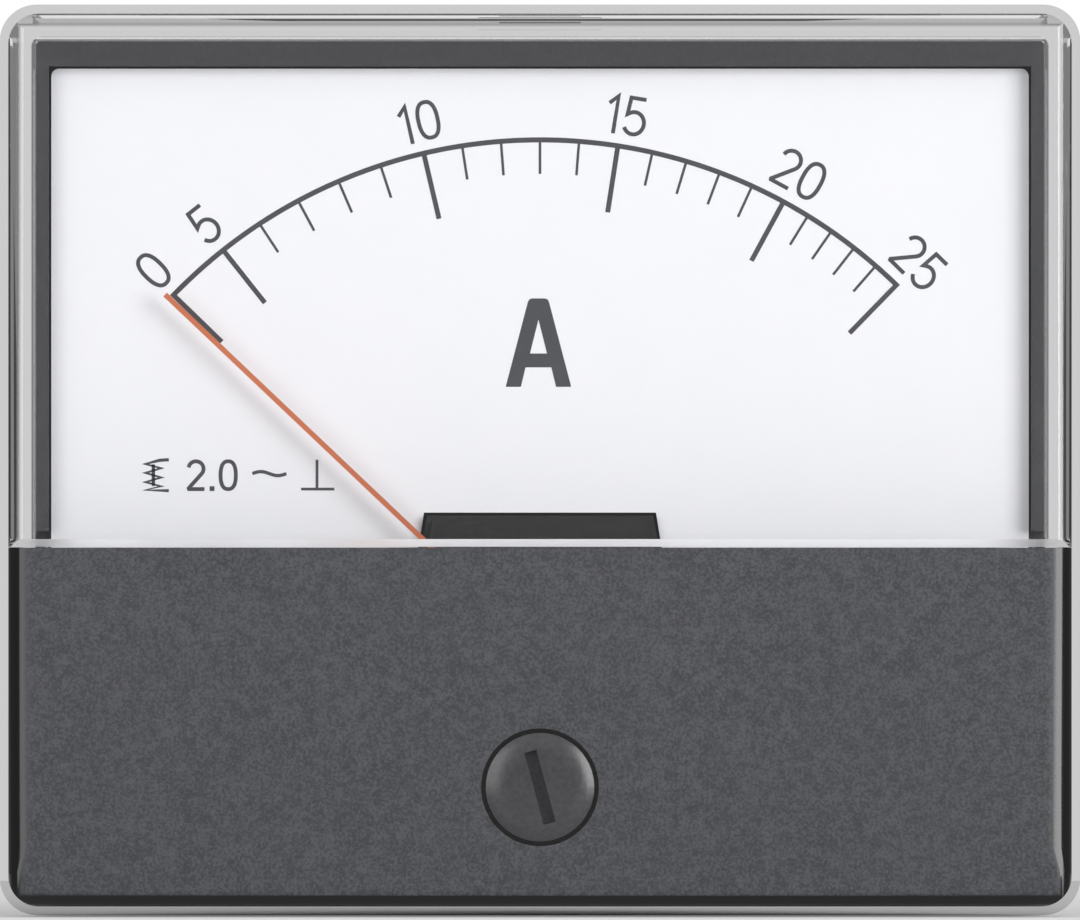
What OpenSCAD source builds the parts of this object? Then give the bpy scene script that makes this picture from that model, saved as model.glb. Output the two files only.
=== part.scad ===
// Moving-iron panel meter: clear push-on cover, black lower mask, printed dial,
// repulsion movement with air damping, round barrel and rear terminal studs.
// Millimetres. The front faces -Y, +Z is up, +X is right as seen from the front.
// The origin is where the barrel's axis crosses the panel's face (y = 0).

/* [Front] */
// Width of the cover's rim on the panel
front_w = 70; // [66:0.5:90]
// Height of the cover's rim on the panel
front_h = 59; // [56:0.5:80]
// Corner radius of the cover's rim
rim_r = 2.4; // [1.2:0.1:4]
// Step from the rim in to the cover's box
rim_step = 0.7; // [0.3:0.1:1.5]
// Thickness of the rim
rim_t = 2; // [1.4:0.1:3]
// Wall of the clear cover
cover_wall = 1.5; // [1.1:0.1:2.5]
// Rounding of the cover's front edges
front_edge_r = 1.1; // [0.4:0.1:1.4]
// Thickness of the black lower mask
mask_t = 1.2; // [0.8:0.1:2]
// Upper edge of the mask, below the barrel's axis
mask_drop = 5.6; // [3:0.1:10]
// Radius of the round head of the zero adjuster
zero_head_r = 3.5; // [2.5:0.1:5]
// Zero adjuster's axis, below the barrel's axis
zero_drop = 21.1; // [20:0.1:24]

/* [Dial] */
// Front of the dial, forward of the panel
dial_rise = 5.9; // [5:0.1:12]
// Thickness of the dial sheet
dial_t = 0.6; // [0.3:0.1:1.2]
// Wall of the black frame at the sides of the dial
frame_side = 0.9; // [0.6:0.1:2]
// Wall of the black frame above the dial
frame_top = 1.7; // [0.6:0.1:4]
// Hood over the dial's cut-out, forward of the dial
hood_proud = 1; // [0.4:0.1:2]
// Top of the hood, below the barrel's axis
hood_drop = 3.6; // [2.8:0.1:4.4]

/* [Moving system] */
// Spindle's axis, below the barrel's axis
spindle_drop = 12.3; // [11:0.1:16]
// Radius from the spindle's axis to the pointer's tip
pointer_len = 33.4; // [20:0.2:34]
// Width of the pointer's blade
pointer_w = 0.34; // [0.2:0.02:0.8]
// Pointer at rest, degrees clockwise from straight up
rest_angle = -46.5; // [-48:0.5:-40]
// Full swing of the pointer from rest to its upper stop, degrees
swing = 95; // [80:1:95]
// Play below rest, from rest to the lower stop, degrees
under_swing = 2.5; // [0.5:0.5:3]
// Radius of the steel spindle
spindle_r = 0.6; // [0.4:0.05:0.8]

/* [Coil] */
// Diameter of the enamelled copper wire
wire_d = 1.6; // [1:0.1:2]
// Turns in the inner layer
inner_turns = 6; // [4:1:8]
// Turns in the outer layer
outer_turns = 4; // [3:1:5]
// Inner radius of the bobbin's bore
bore_r = 5.2; // [5:0.1:7]
// Wall of the bobbin's tube and flanges
bobbin_wall = 1; // [0.8:0.1:1.6]

/* [Barrel and terminals] */
// Wall of the barrel
barrel_wall = 1.5; // [1.2:0.1:3]
// Rear wall of the barrel
rear_wall = 2; // [1.5:0.1:4]
// Flange that lies on the panel
flange_t = 2.4; // [1.6:0.1:3]
// Radius of the terminal studs
terminal_r = 2.5; // [2:0.1:3]
// Distance between the two terminal studs
terminal_pitch = 26; // [22:0.5:30]
// Terminals above the barrel's axis
terminal_rise = 9; // [6:0.5:12]
// Bare stud beyond the last nut
terminal_tail = 4.2; // [3:0.2:10]
// Radius of the mounting studs
stud_r = 1.5; // [1:0.1:2]
// Mounting studs, left to right
stud_pitch_x = 49; // [46:0.5:54]
// Mounting studs, top to bottom
stud_pitch_z = 38; // [36:0.5:44]
// Free length of the mounting studs behind the flange
stud_len = 14; // [8:0.5:20]

/* [Hidden] */
$fn = 64;

// Clearances: pressed or screwed seats, running fits, and free air between parts.
seat = 0.03;
run = 0.05;
fit = 0.15;
air = 0.3;

// The stack forward of the panel, given as y (more negative is nearer the viewer).
dial_y = -dial_rise;
dial_back_y = dial_y + dial_t;
hood_y = dial_y - hood_proud;
cross_t = 0.5;
weight_t = 0.9;
cross_y = hood_y - 0.2 - cross_t;
weight_y = cross_y + cross_t / 2 - weight_t / 2;
spring_w = 0.4;
spring_y = weight_y - 0.2 - spring_w;
bridge_t = 0.8;
bridge_y = spring_y - air - bridge_t;
lever_t = 0.35;
lever_y = bridge_y - run - lever_t;
lock_nut_t = 0.6;
lock_nut_y = lever_y - run - lock_nut_t;
jewel_front_y = lock_nut_y - 0.3;
lower_wall_in_y = jewel_front_y - air;
lower_wall_y = lower_wall_in_y - cover_wall;
mask_y = lower_wall_y - run - mask_t;
window_y = mask_y - run;
window_in_y = window_y + cover_wall;

// The stack behind the dial.
lid_t = 0.8;
lid_back_y = dial_back_y + 0.9 + lid_t;
chamber_depth = 6.2;
plate_y = lid_back_y + chamber_depth;
plate_t = 1.8;
bobbin_y = plate_y + plate_t;
winding_gap = 0.1;
turn_pitch = wire_d + winding_gap;
winding_len = inner_turns * turn_pitch + wire_d + 0.2;
bobbin_len = winding_len + 2 * bobbin_wall;
bobbin_back_y = bobbin_y + bobbin_len;
rear_bridge_t = 1.2;
rear_boss_t = 1.6;
rear_screw_back_y = bobbin_back_y + rear_bridge_t + rear_boss_t + 1.4;
terminal_head_t = 2.2;
rear_in_y = rear_screw_back_y + 3.4;
rear_y = rear_in_y + rear_wall;

// Movement, radii about the spindle's axis.
spindle_z = -spindle_drop;
tube_r = bore_r + bobbin_wall;
inner_turn_r = tube_r + 0.2 + wire_d / 2;
outer_turn_r = inner_turn_r + turn_pitch / cos(9) + 0.02;
bobbin_r = outer_turn_r + wire_d / 2 + 0.7;
barrel_in_r = spindle_drop + bobbin_r + 1.3;
barrel_r = barrel_in_r + barrel_wall;
tie_x = bobbin_r + 1.2;
cross_r = 4.6;
weight_r = 0.75;
arm_hw = 0.3;
collet_r = 1.2;
spring_turns = 5;
spring_t = 0.12;
spring_out_r = 4.1;
pivot_len = 0.6;
pivot_front_y = bridge_y + bridge_t - 0.3;
pivot_back_y = bobbin_back_y + rear_bridge_t + 0.3;
jewel_r = 1.25;
lever_ring_r = 2.6;
pin_r = 0.6;
pin_offset = 1;
pin_slack = 0.15;
zero_z = -zero_drop;
zero_shank_r = 2;
zero_collar_r = 2.6;
chamber_r = 14.6;
chamber_wall = 1;
chamber_span = 55;
lid_screw_a = chamber_span + 7;
paddle_in_r = 6.5;
paddle_out_r = chamber_r - 0.5;
paddle_t = 0.25;
stop_r = 8.5;
stop_pin_r = 0.5;
stop_gap = 0.06;
pillar_x = 10;
pillar_r = 2;
iron_t = 0.4;
fixed_out_r = bore_r - seat;
moving_out_r = bore_r - iron_t - 0.5;
iron_y0 = bobbin_y + 1;
iron_y1 = bobbin_back_y - 1.6;
frame_ear = [17, -4];
frame_pillar_r = 2.6;
plate_rim = 0.6;
sector_margin = 4;
lid_boss_r = 1.4;
lid_boss_at = chamber_r - 0.4;
hub_room_r = 5.4;
spindle_hole_r = 1.6;
tie_ear_r = 2.2;

// Screws: radius of the shank, and [radius, height] of each kind of head.
small_screw_r = 0.8;
lid_screw_r = 0.6;
movement_screw_r = 1;
loose = 0.1;
dial_head = [1.6, 0.8];
lid_head = [1.1, 0.5];
movement_head = [2, 1.2];
bridge_head = [1.5, 0.9];
tie_head = [1.5, 1];
lid_screw_len = 3.6;
movement_screw_len = 7.8;
bridge_screw_len = 4.6;
blind_end = 0.4;

// Cover, frame and dial, as half sizes from the centre of the front.
box_hw = front_w / 2 - rim_step;
box_hh = front_h / 2 - rim_step;
cover_in_hw = box_hw - cover_wall;
cover_in_hh = box_hh - cover_wall;
base_hw = cover_in_hw - fit;
base_hh = cover_in_hh - fit;
frame_in_hw = base_hw - frame_side;
frame_in_top = base_hh - frame_top;
frame_front_y = dial_y - 1.2;
dial_hw = frame_in_hw - fit;
dial_top = frame_in_top - fit;
mask_side = 0.9;
mask_top_z = -mask_drop;
skirt_step = mask_side + run;
lower_hw = box_hw - skirt_step;
lower_in_hw = lower_hw - cover_wall + 0.15;
lower_bottom = box_hh - skirt_step;
lower_in_bottom = lower_bottom - cover_wall + 0.15;
step_bevel = 0.5;
peg = [26, 17];
peg_r = 0.9;
snap_len = 8;
snap_proud = 0.3;
notch_w = 5.3;
base_corner_r = 0.7;
frame_corner_r = 0.55;
dial_screw = [26, -11];
dial_pillar_r = 2.4;
dial_rest = [19, 23];
dial_rest_r = 2;
dial_leg_bottom = -15.5;
notch_hw = 13;
hood_hw_top = 7.3;
hood_hw_bottom = 8.1;
hood_bottom_z = spindle_z + 4.4;
hood_top_z = -hood_drop;
barrel_bevel = [0.8, 1];
barrel_lip_r = barrel_r + 0.5;
barrel_lip_t = 1.2;
barrier_t = 1.6;
barrier_len = 16;
barrier_h = 4;
collar_r = 5.8;
collar_t = 0.4;
stud_neck_r = stud_r + 0.35;
stud_head_r = stud_r + 1.3;
stud_head_t = 1;
stud_point = 0.4;
nut_t = 4;
washer_t = 0.8;
washer_r = 5;
washer_slack = 0.15;
spring_washer_t = 1.2;
nut_flats = 8;
terminal_head_r = 4.4;
terminal_x = terminal_pitch / 2;
terminal_point = 0.5;
relief_r = terminal_r - 0.4;
relief_w = 0.8;
collar_y = rear_y + collar_t;
nut1_y = collar_y + washer_t;
washer2_y = nut1_y + nut_t;
nut2_y = washer2_y + washer_t + spring_washer_t;
tail_y = nut2_y + nut_t;
terminal_end_y = tail_y + terminal_tail;

// Extrudes an outline, drawn in x and z as seen from the front, from y0 to y1.
module slab(y0, y1) {
    translate([0, y1, 0]) rotate([90, 0, 0]) linear_extrude(y1 - y0) children();
}

// A disc or shaft along Y, at (x, z).
module shaft(x, z, r, y0, y1) {
    translate([x, y1, z]) rotate([90, 0, 0]) cylinder(r = r, h = y1 - y0);
}

// A cone along Y whose radius goes from r0 at y0 to r1 at y1.
module taper(x, z, r0, y0, r1, y1) {
    translate([x, y1, z]) rotate([90, 0, 0]) cylinder(r1 = r1, r2 = r0, h = y1 - y0);
}

// A rectangle with round corners, from its half width and its bottom and top edges.
module round_rect(hw, bottom, top, r) {
    translate([-hw + r, bottom]) square([2 * (hw - r), top - bottom]);
    translate([-hw, bottom + r]) square([2 * hw, top - bottom - 2 * r]);
    for (x = [-hw + r, hw - r])
        for (z = [bottom + r, top - r])
            translate([x, z]) circle(r);
}

// Half of a front edge's cross-section: depth along x, half width along y.
module edge_profile(hw0, hw1, y0, y1, r) {
    translate([y0 + r, hw0]) square([y1 - y0 - r, hw1 - hw0]);
    translate([y0, hw0 + r]) square([r, hw1 - hw0 - 2 * r]);
    for (w = [hw0 + r, hw1 - r])
        translate([y0 + r, w]) circle(r);
}

// A box along Y with round corners, and with round edges at its front, y0.
module moulded_box(hw, bottom, top, y0, y1, corner_r, edge_r) {
    intersection() {
        slab(y0, y1) round_rect(hw, bottom, top, corner_r);
        translate([0, 0, bottom - 1]) linear_extrude(top - bottom + 2)
            mirror([1, 0]) rotate(90) edge_profile(-hw, hw, y0, y1, edge_r);
        translate([-hw - 1, 0, 0]) rotate([90, 0, 90]) linear_extrude(2 * hw + 2)
            edge_profile(bottom, top, y0, y1, edge_r);
    }
}

// A sector of a disc about the spindle's axis, from angle a0 to a1 clockwise from up.
module sector(r, a0, a1) {
    far = 3 * r;
    steps = 6;
    intersection() {
        circle(r);
        polygon(concat([[0, 0]], [for (i = [0:steps])
            let (a = a0 + (a1 - a0) * i / steps) [far * sin(a), far * cos(a)]]));
    }
}

// Places what is drawn about the spindle's axis, turned clockwise from straight up.
module about_spindle(a = 0) {
    translate([0, 0, spindle_z]) rotate([0, a, 0]) children();
}

// Slotted cheese head, its flat side at y1, facing the viewer.
module slotted_head(x, z, r, y0, y1, slot_a = 30) {
    difference() {
        shaft(x, z, r, y0, y1);
        translate([x, y0, z]) rotate([0, slot_a, 0])
            cube([2 * r + 1, (y1 - y0) * 0.9, r * 0.32], center = true);
    }
}

// Clear polystyrene cover: rim, box, window, stepped lower part and pry notch.
module front_cover() {
    color([0.86, 0.9, 0.93, 0.35])
    difference() {
        union() {
            slab(-rim_t, 0) round_rect(front_w / 2, -front_h / 2, front_h / 2, rim_r);
            moulded_box(box_hw, -box_hh, box_hh, window_y, -rim_t / 2, rim_r - 0.4, front_edge_r);
        }
        // Room inside the upper part, behind the window.
        moulded_box(cover_in_hw, mask_top_z, cover_in_hh, window_in_y, -rim_t - 0.01, 0.6, 0.3);
        // Room inside the lower part, behind the stepped wall.
        moulded_box(lower_in_hw, -lower_in_bottom, mask_top_z + 1, lower_wall_in_y, -rim_t - 0.01, 0.6, 0.3);
        // Room for the flange, with the beads that snap under it left standing.
        slab(-rim_t - 0.6, 1) round_rect(cover_in_hw, -cover_in_hh, cover_in_hh, 0.8);
        // Step that takes the mask: front, sides and bottom.
        slab(window_y - 1, lower_wall_y)
            translate([-front_w, -front_h]) square([2 * front_w, front_h + mask_top_z]);
        difference() {
            slab(window_y - 1, -rim_t)
                translate([-front_w, -front_h]) square([2 * front_w, front_h + mask_top_z]);
            slab(window_y - 1, -rim_t)
                round_rect(lower_hw, -lower_bottom, mask_top_z + 5, 1);
        }
        // Bevel along the window's lower edge.
        translate([0, window_y, mask_top_z + step_bevel]) rotate([-45, 0, 0])
            translate([-front_w, -step_bevel, -2 * step_bevel])
                cube([2 * front_w, 3 * step_bevel, 2 * step_bevel]);
        // Hole for the zero adjuster and for the mask's pegs.
        shaft(0, zero_z, zero_shank_r + run, window_y, 0);
        for (x = [-1, 1]) shaft(x * peg[0], -peg[1], peg_r + run, window_y, 0);
        // Notch at the top, where a blade pries the cover off.
        slab(-rim_t + 0.5, 1) translate([-notch_w / 2, front_h / 2 - 0.8]) square([notch_w, 2]);
    }
    color([0.86, 0.9, 0.93, 0.35])
    for (s = [-1, 1])
        snap_bead(s);
}

// Bead on the inside of the rim that snaps into the flange's groove.
module snap_bead(s) {
    intersection() {
        translate([-snap_len / 2, -flange_t / 2, s * (cover_in_hh + 0.05)]) rotate([0, 90, 0])
            cylinder(r = snap_proud + 0.05, h = snap_len);
        translate([-snap_len / 2, -flange_t, s > 0 ? 0 : -cover_in_hh])
            cube([snap_len, flange_t, cover_in_hh]);
    }
}

// Black lower mask: a shallow tray that wraps the cover's lower part.
module lower_mask() {
    color([0.26, 0.26, 0.27])
    union() {
        difference() {
            intersection() {
                moulded_box(box_hw, -box_hh, box_hh, mask_y, -rim_t - run, rim_r - 0.4, front_edge_r);
                slab(mask_y - 1, 0)
                    translate([-front_w, -front_h]) square([2 * front_w, front_h + mask_top_z - run]);
            }
            slab(lower_wall_y - run, 1)
                round_rect(lower_hw + run, -lower_bottom - run, box_hh, 1 + run);
            shaft(0, zero_z, zero_head_r + 0.3, mask_y - 1, 0);
        }
        for (x = [-1, 1]) shaft(x * peg[0], -peg[1], peg_r, lower_wall_y - run, lower_wall_in_y + 0.6);
    }
}

// Zero adjuster: slotted head, shank, snap collar and eccentric pin.
module zero_screw() {
    head_t = mask_t + 0.1;
    dome = 0.35;
    head_y = lower_wall_y - run;
    color([0.2, 0.2, 0.21])
    union() {
        difference() {
            union() {
                shaft(0, zero_z, zero_head_r, head_y - head_t + dome, head_y);
                taper(0, zero_z, zero_head_r - 0.5, head_y - head_t, zero_head_r, head_y - head_t + dome);
            }
            translate([0, head_y - head_t, zero_z]) rotate([0, -15, 0])
                cube([0.8, 1.5, 4.8], center = true);
        }
        shaft(0, zero_z, zero_shank_r, head_y, lower_wall_in_y + run);
        taper(0, zero_z, zero_collar_r, lower_wall_in_y + run, zero_shank_r, lower_wall_in_y + run + 0.6);
        shaft(0, zero_z + pin_offset, pin_r, lower_wall_in_y + run, lever_y + lever_t + air);
    }
}

// Black moulding in front of the panel: flange, dial frame and the dial's seats.
module base_housing() {
    groove_r = snap_proud + fit;
    pilot_end_y = -0.6;
    color([0.13, 0.13, 0.14])
    difference() {
        union() {
            slab(-flange_t, 0) round_rect(base_hw, -base_hh, base_hh, base_corner_r);
            // Frame round the upper part of the dial.
            slab(frame_front_y, -flange_t) difference() {
                round_rect(base_hw, -base_hh, base_hh, frame_corner_r);
                translate([-frame_in_hw, -front_h]) square([2 * frame_in_hw, front_h + frame_in_top]);
                translate([-front_w, -front_h]) square([2 * front_w, front_h + mask_top_z + 1]);
            }
            // Seats of the dial: two that take screws, two plain ones.
            for (x = [-1, 1]) {
                shaft(x * dial_screw[0], dial_screw[1], dial_pillar_r, dial_back_y, -flange_t);
                shaft(x * dial_rest[0], dial_rest[1], dial_rest_r, dial_back_y, -flange_t);
            }
        }
        // Opening into the barrel, with a step for the barrel's lip.
        shaft(0, 0, barrel_in_r, -flange_t - 1, 1);
        shaft(0, 0, barrel_lip_r + seat, -barrel_lip_t, 1);
        for (x = [-1, 1])
            shaft(x * dial_screw[0], dial_screw[1], small_screw_r + seat, dial_back_y - 1, pilot_end_y);
        // Holes for the necks of the mounting studs.
        for (x = [-1, 1], z = [-1, 1])
            shaft(x * stud_pitch_x / 2, z * stud_pitch_z / 2, stud_neck_r + seat, -flange_t - 1, 1);
        // Grooves for the cover's snap beads.
        for (s = [-1, 1]) translate([-snap_len / 2 - fit, -flange_t / 2, s * (base_hh + fit)])
            rotate([0, 90, 0]) cylinder(r = groove_r, h = snap_len + 2 * fit);
    }
}

// Barrel behind the flange, of the same black moulding: lip, wall, bevelled rear wall,
// pillars of the movement, a raised collar round each terminal and a barrier between them.
module rear_barrel() {
    color([0.13, 0.13, 0.14])
    difference() {
        union() {
            shaft(0, 0, barrel_lip_r, -barrel_lip_t, 0);
            shaft(0, 0, barrel_r, -0.01, rear_y - barrel_bevel[1]);
            taper(0, 0, barrel_r, rear_y - barrel_bevel[1], barrel_r - barrel_bevel[0], rear_y);
            for (x = [-1, 1]) shaft(x * terminal_x, terminal_rise, collar_r, rear_y - 1, collar_y);
            slab(rear_y - 1, rear_y + barrier_h)
                translate([-barrier_t / 2, terminal_rise - barrier_len / 2]) square([barrier_t, barrier_len]);
        }
        // Inside of the barrel, with the pillars of the movement left standing.
        difference() {
            shaft(0, 0, barrel_in_r, -barrel_lip_t - 1, rear_in_y);
            for (x = [-1, 1]) shaft(x * frame_ear[0], frame_ear[1], frame_pillar_r, bobbin_y, rear_in_y);
        }
        for (x = [-1, 1]) {
            shaft(x * frame_ear[0], frame_ear[1], movement_screw_r + seat,
                bobbin_y - 1, bobbin_y + movement_screw_len + blind_end);
            shaft(x * terminal_x, terminal_rise, terminal_r + seat, rear_in_y - 1, collar_y + 1);
        }
    }
}

// Dial: white sheet with a cut-out for the movement, two screw holes.
module dial_plate() {
    hood_gap = 0.2;
    color([0.96, 0.96, 0.97])
    slab(dial_y, dial_back_y) difference() {
        round_rect(dial_hw, dial_leg_bottom, dial_top, 0.5);
        translate([-notch_hw, dial_leg_bottom - 1])
            square([2 * notch_hw, hood_bottom_z - 0.4 - dial_leg_bottom + 1]);
        polygon([
            [-hood_hw_bottom - hood_gap - 0.1, hood_bottom_z - 1],
            [-hood_hw_top - hood_gap, hood_top_z + hood_gap],
            [hood_hw_top + hood_gap, hood_top_z + hood_gap],
            [hood_hw_bottom + hood_gap + 0.1, hood_bottom_z - 1]
        ]);
        for (x = [-1, 1]) translate([x * dial_screw[0], dial_screw[1]]) circle(small_screw_r + loose);
    }
}

// Two screws that hold the dial on its pillars.
module dial_screws() {
    color([0.78, 0.78, 0.76])
    for (x = [-1, 1]) union() {
        slotted_head(x * dial_screw[0], dial_screw[1], dial_head[0], dial_y - dial_head[1], dial_y, 40 * x);
        shaft(x * dial_screw[0], dial_screw[1], small_screw_r, dial_y - 0.01, -1);
    }
}

// Black moulding of the movement: plate, damping chamber, bridge pillars and ears.
module movement_frame() {
    ear_bar_bottom = spindle_z + lid_boss_at * cos(lid_screw_a) - lid_boss_r - 0.4;
    ear_bar_top = frame_ear[1] + 2;
    color([0.17, 0.17, 0.18])
    difference() {
        union() {
            slab(plate_y, bobbin_y) {
                translate([0, spindle_z]) circle(bobbin_r + plate_rim);
                translate([0, spindle_z]) chamber_outline();
                for (x = [-1, 1]) {
                    translate([x * frame_ear[0], frame_ear[1]]) circle(frame_pillar_r);
                    translate([x * tie_x, spindle_z]) circle(tie_ear_r);
                }
                translate([-frame_ear[0], ear_bar_bottom])
                    square([2 * frame_ear[0], ear_bar_top - ear_bar_bottom]);
            }
            // Wall of the damping chamber.
            slab(lid_back_y, plate_y) translate([0, spindle_z]) difference() {
                chamber_outline();
                sector(chamber_r, -chamber_span, chamber_span);
                circle(hub_room_r);
            }
            for (x = [-1, 1]) shaft(x * pillar_x, spindle_z, pillar_r, bridge_y + bridge_t, bobbin_y);
        }
        shaft(0, spindle_z, spindle_hole_r, plate_y - 1, bobbin_y + 1);
        for (x = [-1, 1]) {
            shaft(x * frame_ear[0], frame_ear[1], movement_screw_r + loose, plate_y - 1, bobbin_y + 1);
            shaft(x * pillar_x, spindle_z, small_screw_r + seat,
                bridge_y, bridge_y + bridge_t + bridge_screw_len + blind_end);
            shaft(x * tie_x, spindle_z, small_screw_r + seat, plate_y - 1, bobbin_y + 1);
            about_spindle(x * lid_screw_a)
                shaft(0, lid_boss_at, lid_screw_r + seat, lid_back_y - 1, lid_back_y + lid_screw_len + blind_end);
        }
    }
}

// Outline of the damping chamber: a sector with a screw boss at each end.
module chamber_outline() {
    sector(chamber_r + chamber_wall, -chamber_span - sector_margin, chamber_span + sector_margin);
    for (x = [-1, 1]) rotate(x * lid_screw_a) translate([0, lid_boss_at]) circle(lid_boss_r);
}

// Lid of the damping chamber, with the hood that fills the dial's cut-out.
module damping_lid() {
    lip = 0.35;
    sleeve_room_r = 3;
    stop_reach = 0.6;
    color([0.1, 0.1, 0.11])
    union() {
        slab(lid_back_y - lid_t, lid_back_y) translate([0, spindle_z]) difference() {
            chamber_outline();
            circle(sleeve_room_r);
            for (x = [-1, 1]) rotate(x * lid_screw_a) translate([0, lid_boss_at]) circle(lid_screw_r + loose);
        }
        // Hood: two steps, so that its upper edge shows two fine lips.
        slab(hood_y + lip, lid_back_y - lid_t) hood_outline(0);
        slab(hood_y, hood_y + lip) hood_outline(lip);
        // Stops of the pointer.
        for (a = [stop_angle(rest_angle - under_swing, -1), stop_angle(rest_angle + swing, 1)])
            about_spindle(a) shaft(0, stop_r, stop_pin_r, cross_y - stop_reach, hood_y + 1);
    }
}

// Angle of a stop whose pin the pointer's blade just reaches at angle a.
function stop_angle(a, side) =
    a + side * (stop_pin_r + pointer_w / 2 + stop_gap) / stop_r * 180 / PI;

// Outline of the hood, drawn in by inset at its top and sides.
module hood_outline(inset) {
    polygon([
        [-hood_hw_bottom + inset, hood_bottom_z],
        [-hood_hw_top + inset, hood_top_z - inset],
        [hood_hw_top - inset, hood_top_z - inset],
        [hood_hw_bottom - inset, hood_bottom_z]
    ]);
}

// Two small screws that hold the lid on the chamber.
module lid_screws() {
    color([0.78, 0.78, 0.76])
    for (x = [-1, 1]) about_spindle(x * lid_screw_a) union() {
        slotted_head(0, lid_boss_at, lid_head[0], lid_back_y - lid_t - lid_head[1], lid_back_y - lid_t, 20);
        shaft(0, lid_boss_at, lid_screw_r, lid_back_y - lid_t - 0.01, lid_back_y + lid_screw_len);
    }
}

// Two screws that hold the movement on the barrel's pillars.
module movement_screws() {
    color([0.78, 0.78, 0.76])
    for (x = [-1, 1]) union() {
        slotted_head(x * frame_ear[0], frame_ear[1], movement_head[0], plate_y - movement_head[1], plate_y, 55 * x);
        shaft(x * frame_ear[0], frame_ear[1], movement_screw_r, plate_y - 0.01, bobbin_y + movement_screw_len);
    }
}

// Brass bridge across the pillars, which holds the front bearing.
module front_bridge() {
    bridge_hw = 1.7;
    eye_r = 2.3;
    color([0.8, 0.66, 0.36])
    slab(bridge_y, bridge_y + bridge_t) difference() {
        union() {
            translate([-pillar_x, spindle_z - bridge_hw]) square([2 * pillar_x, 2 * bridge_hw]);
            for (x = [-1, 1]) translate([x * pillar_x, spindle_z]) circle(pillar_r);
            translate([0, spindle_z]) circle(eye_r);
        }
        translate([0, spindle_z]) circle(jewel_r + seat);
        for (x = [-1, 1]) translate([x * pillar_x, spindle_z]) circle(small_screw_r + loose);
    }
}

// Two screws that hold the bridge on the pillars.
module bridge_screws() {
    color([0.78, 0.78, 0.76])
    for (x = [-1, 1]) union() {
        slotted_head(x * pillar_x, spindle_z, bridge_head[0], bridge_y - bridge_head[1], bridge_y, 25 * x);
        shaft(x * pillar_x, spindle_z, small_screw_r, bridge_y - 0.01, bridge_y + bridge_t + bridge_screw_len);
    }
}

// A bearing screw from y0 to y1, slotted at its outer end, with a cup for the pivot.
module jewel_screw(r, y0, y1, cup_at_back) {
    cup_r = 0.75;
    cup_depth = 0.75;
    cup_tip_r = 0.12;
    slot = [1.2, 0.45];
    slot_y = cup_at_back ? y0 : y1;
    difference() {
        shaft(0, spindle_z, r, y0, y1);
        translate([0, slot_y, spindle_z]) cube([2 * r + 1, slot[0], slot[1]], center = true);
        if (cup_at_back)
            taper(0, spindle_z, cup_tip_r, y1 - cup_depth, cup_r, y1 + 0.01);
        else
            taper(0, spindle_z, cup_r, y0 - 0.01, cup_tip_r, y0 + cup_depth);
    }
}

// Front bearing screw, which also carries the zero lever.
module front_jewel_screw() {
    color([0.84, 0.7, 0.38])
    jewel_screw(jewel_r, jewel_front_y, bridge_y + bridge_t + 0.1, true);
}

// Hexagon nut that locks the bearing screw over the zero lever.
module jewel_lock_nut() {
    corner_r = 2.2;
    color([0.84, 0.7, 0.38])
    slab(lock_nut_y, lock_nut_y + lock_nut_t) translate([0, spindle_z]) difference() {
        circle(r = corner_r, $fn = 6);
        circle(jewel_r + seat);
    }
}

// Regulator lever: ring on the bearing screw, forked arm down to the adjuster's pin,
// and a tab bent back past the bridge to hold the hairspring's outer end.
module zero_lever() {
    fork_z = zero_z + pin_offset;
    slot_hw = pin_r + pin_slack;
    slot_top = fork_z + 1.4;
    prong_hw = slot_hw + 0.7;
    prong_top = fork_z + 2.4;
    arm_hw = 0.9;
    arm_bottom = fork_z - pin_r - 0.8;
    arm_top = spindle_z - 1.2;
    tab_hw = 0.6;
    tab_t = 0.35;
    tab_z = spindle_z - spring_out_r - spring_t;
    color([0.82, 0.68, 0.38])
    union() {
        slab(lever_y, lever_y + lever_t) difference() {
            union() {
                translate([0, spindle_z]) circle(lever_ring_r);
                translate([-arm_hw, slot_top]) square([2 * arm_hw, arm_top - slot_top]);
                translate([-prong_hw, arm_bottom]) square([2 * prong_hw, prong_top - arm_bottom]);
            }
            translate([0, spindle_z]) circle(jewel_r + run);
            translate([-slot_hw, arm_bottom - 1]) square([2 * slot_hw, slot_top - arm_bottom + 1]);
        }
        slab(lever_y + lever_t - 0.01, spring_y + spring_w)
            translate([-tab_hw, tab_z - tab_t]) square([2 * tab_hw, tab_t]);
    }
}

// Hairspring: half turns whose centres alternate, so the strip winds outward evenly.
module hairspring() {
    grow = (spring_out_r - collet_r - run - spring_t) / (2 * spring_turns);
    end_hw = 0.25;
    color([0.75, 0.55, 0.3])
    slab(spring_y, spring_y + spring_w) translate([0, spindle_z]) {
        difference() {
            circle(collet_r + run + spring_t);
            circle(collet_r + run);
        }
        for (i = [0:2 * spring_turns - 1])
            half_turn(collet_r + run + spring_t / 2 + grow * (i + 0.5), grow / 2, i % 2);
        translate([-end_hw, -spring_out_r - spring_t]) square([2 * end_hw, spring_t + grow]);
    }
}

// One half turn of the strip, with its centre offset along z.
module half_turn(r, shift, odd) {
    s = odd == 1 ? -1 : 1;
    translate([0, odd == 1 ? -shift : shift]) intersection() {
        difference() {
            circle(r + spring_t / 2);
            circle(r - spring_t / 2);
        }
        translate([s > 0 ? 0 : -2 * r, -2 * r]) square([2 * r, 4 * r]);
    }
}

// Brass collet on the spindle, inside the hairspring's first turn.
module hairspring_collet() {
    color([0.84, 0.7, 0.38])
    difference() {
        shaft(0, spindle_z, collet_r, spring_y - 0.1, weight_y - 0.05);
        shaft(0, spindle_z, spindle_r + seat, spring_y - 1, weight_y + 1);
    }
}

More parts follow.
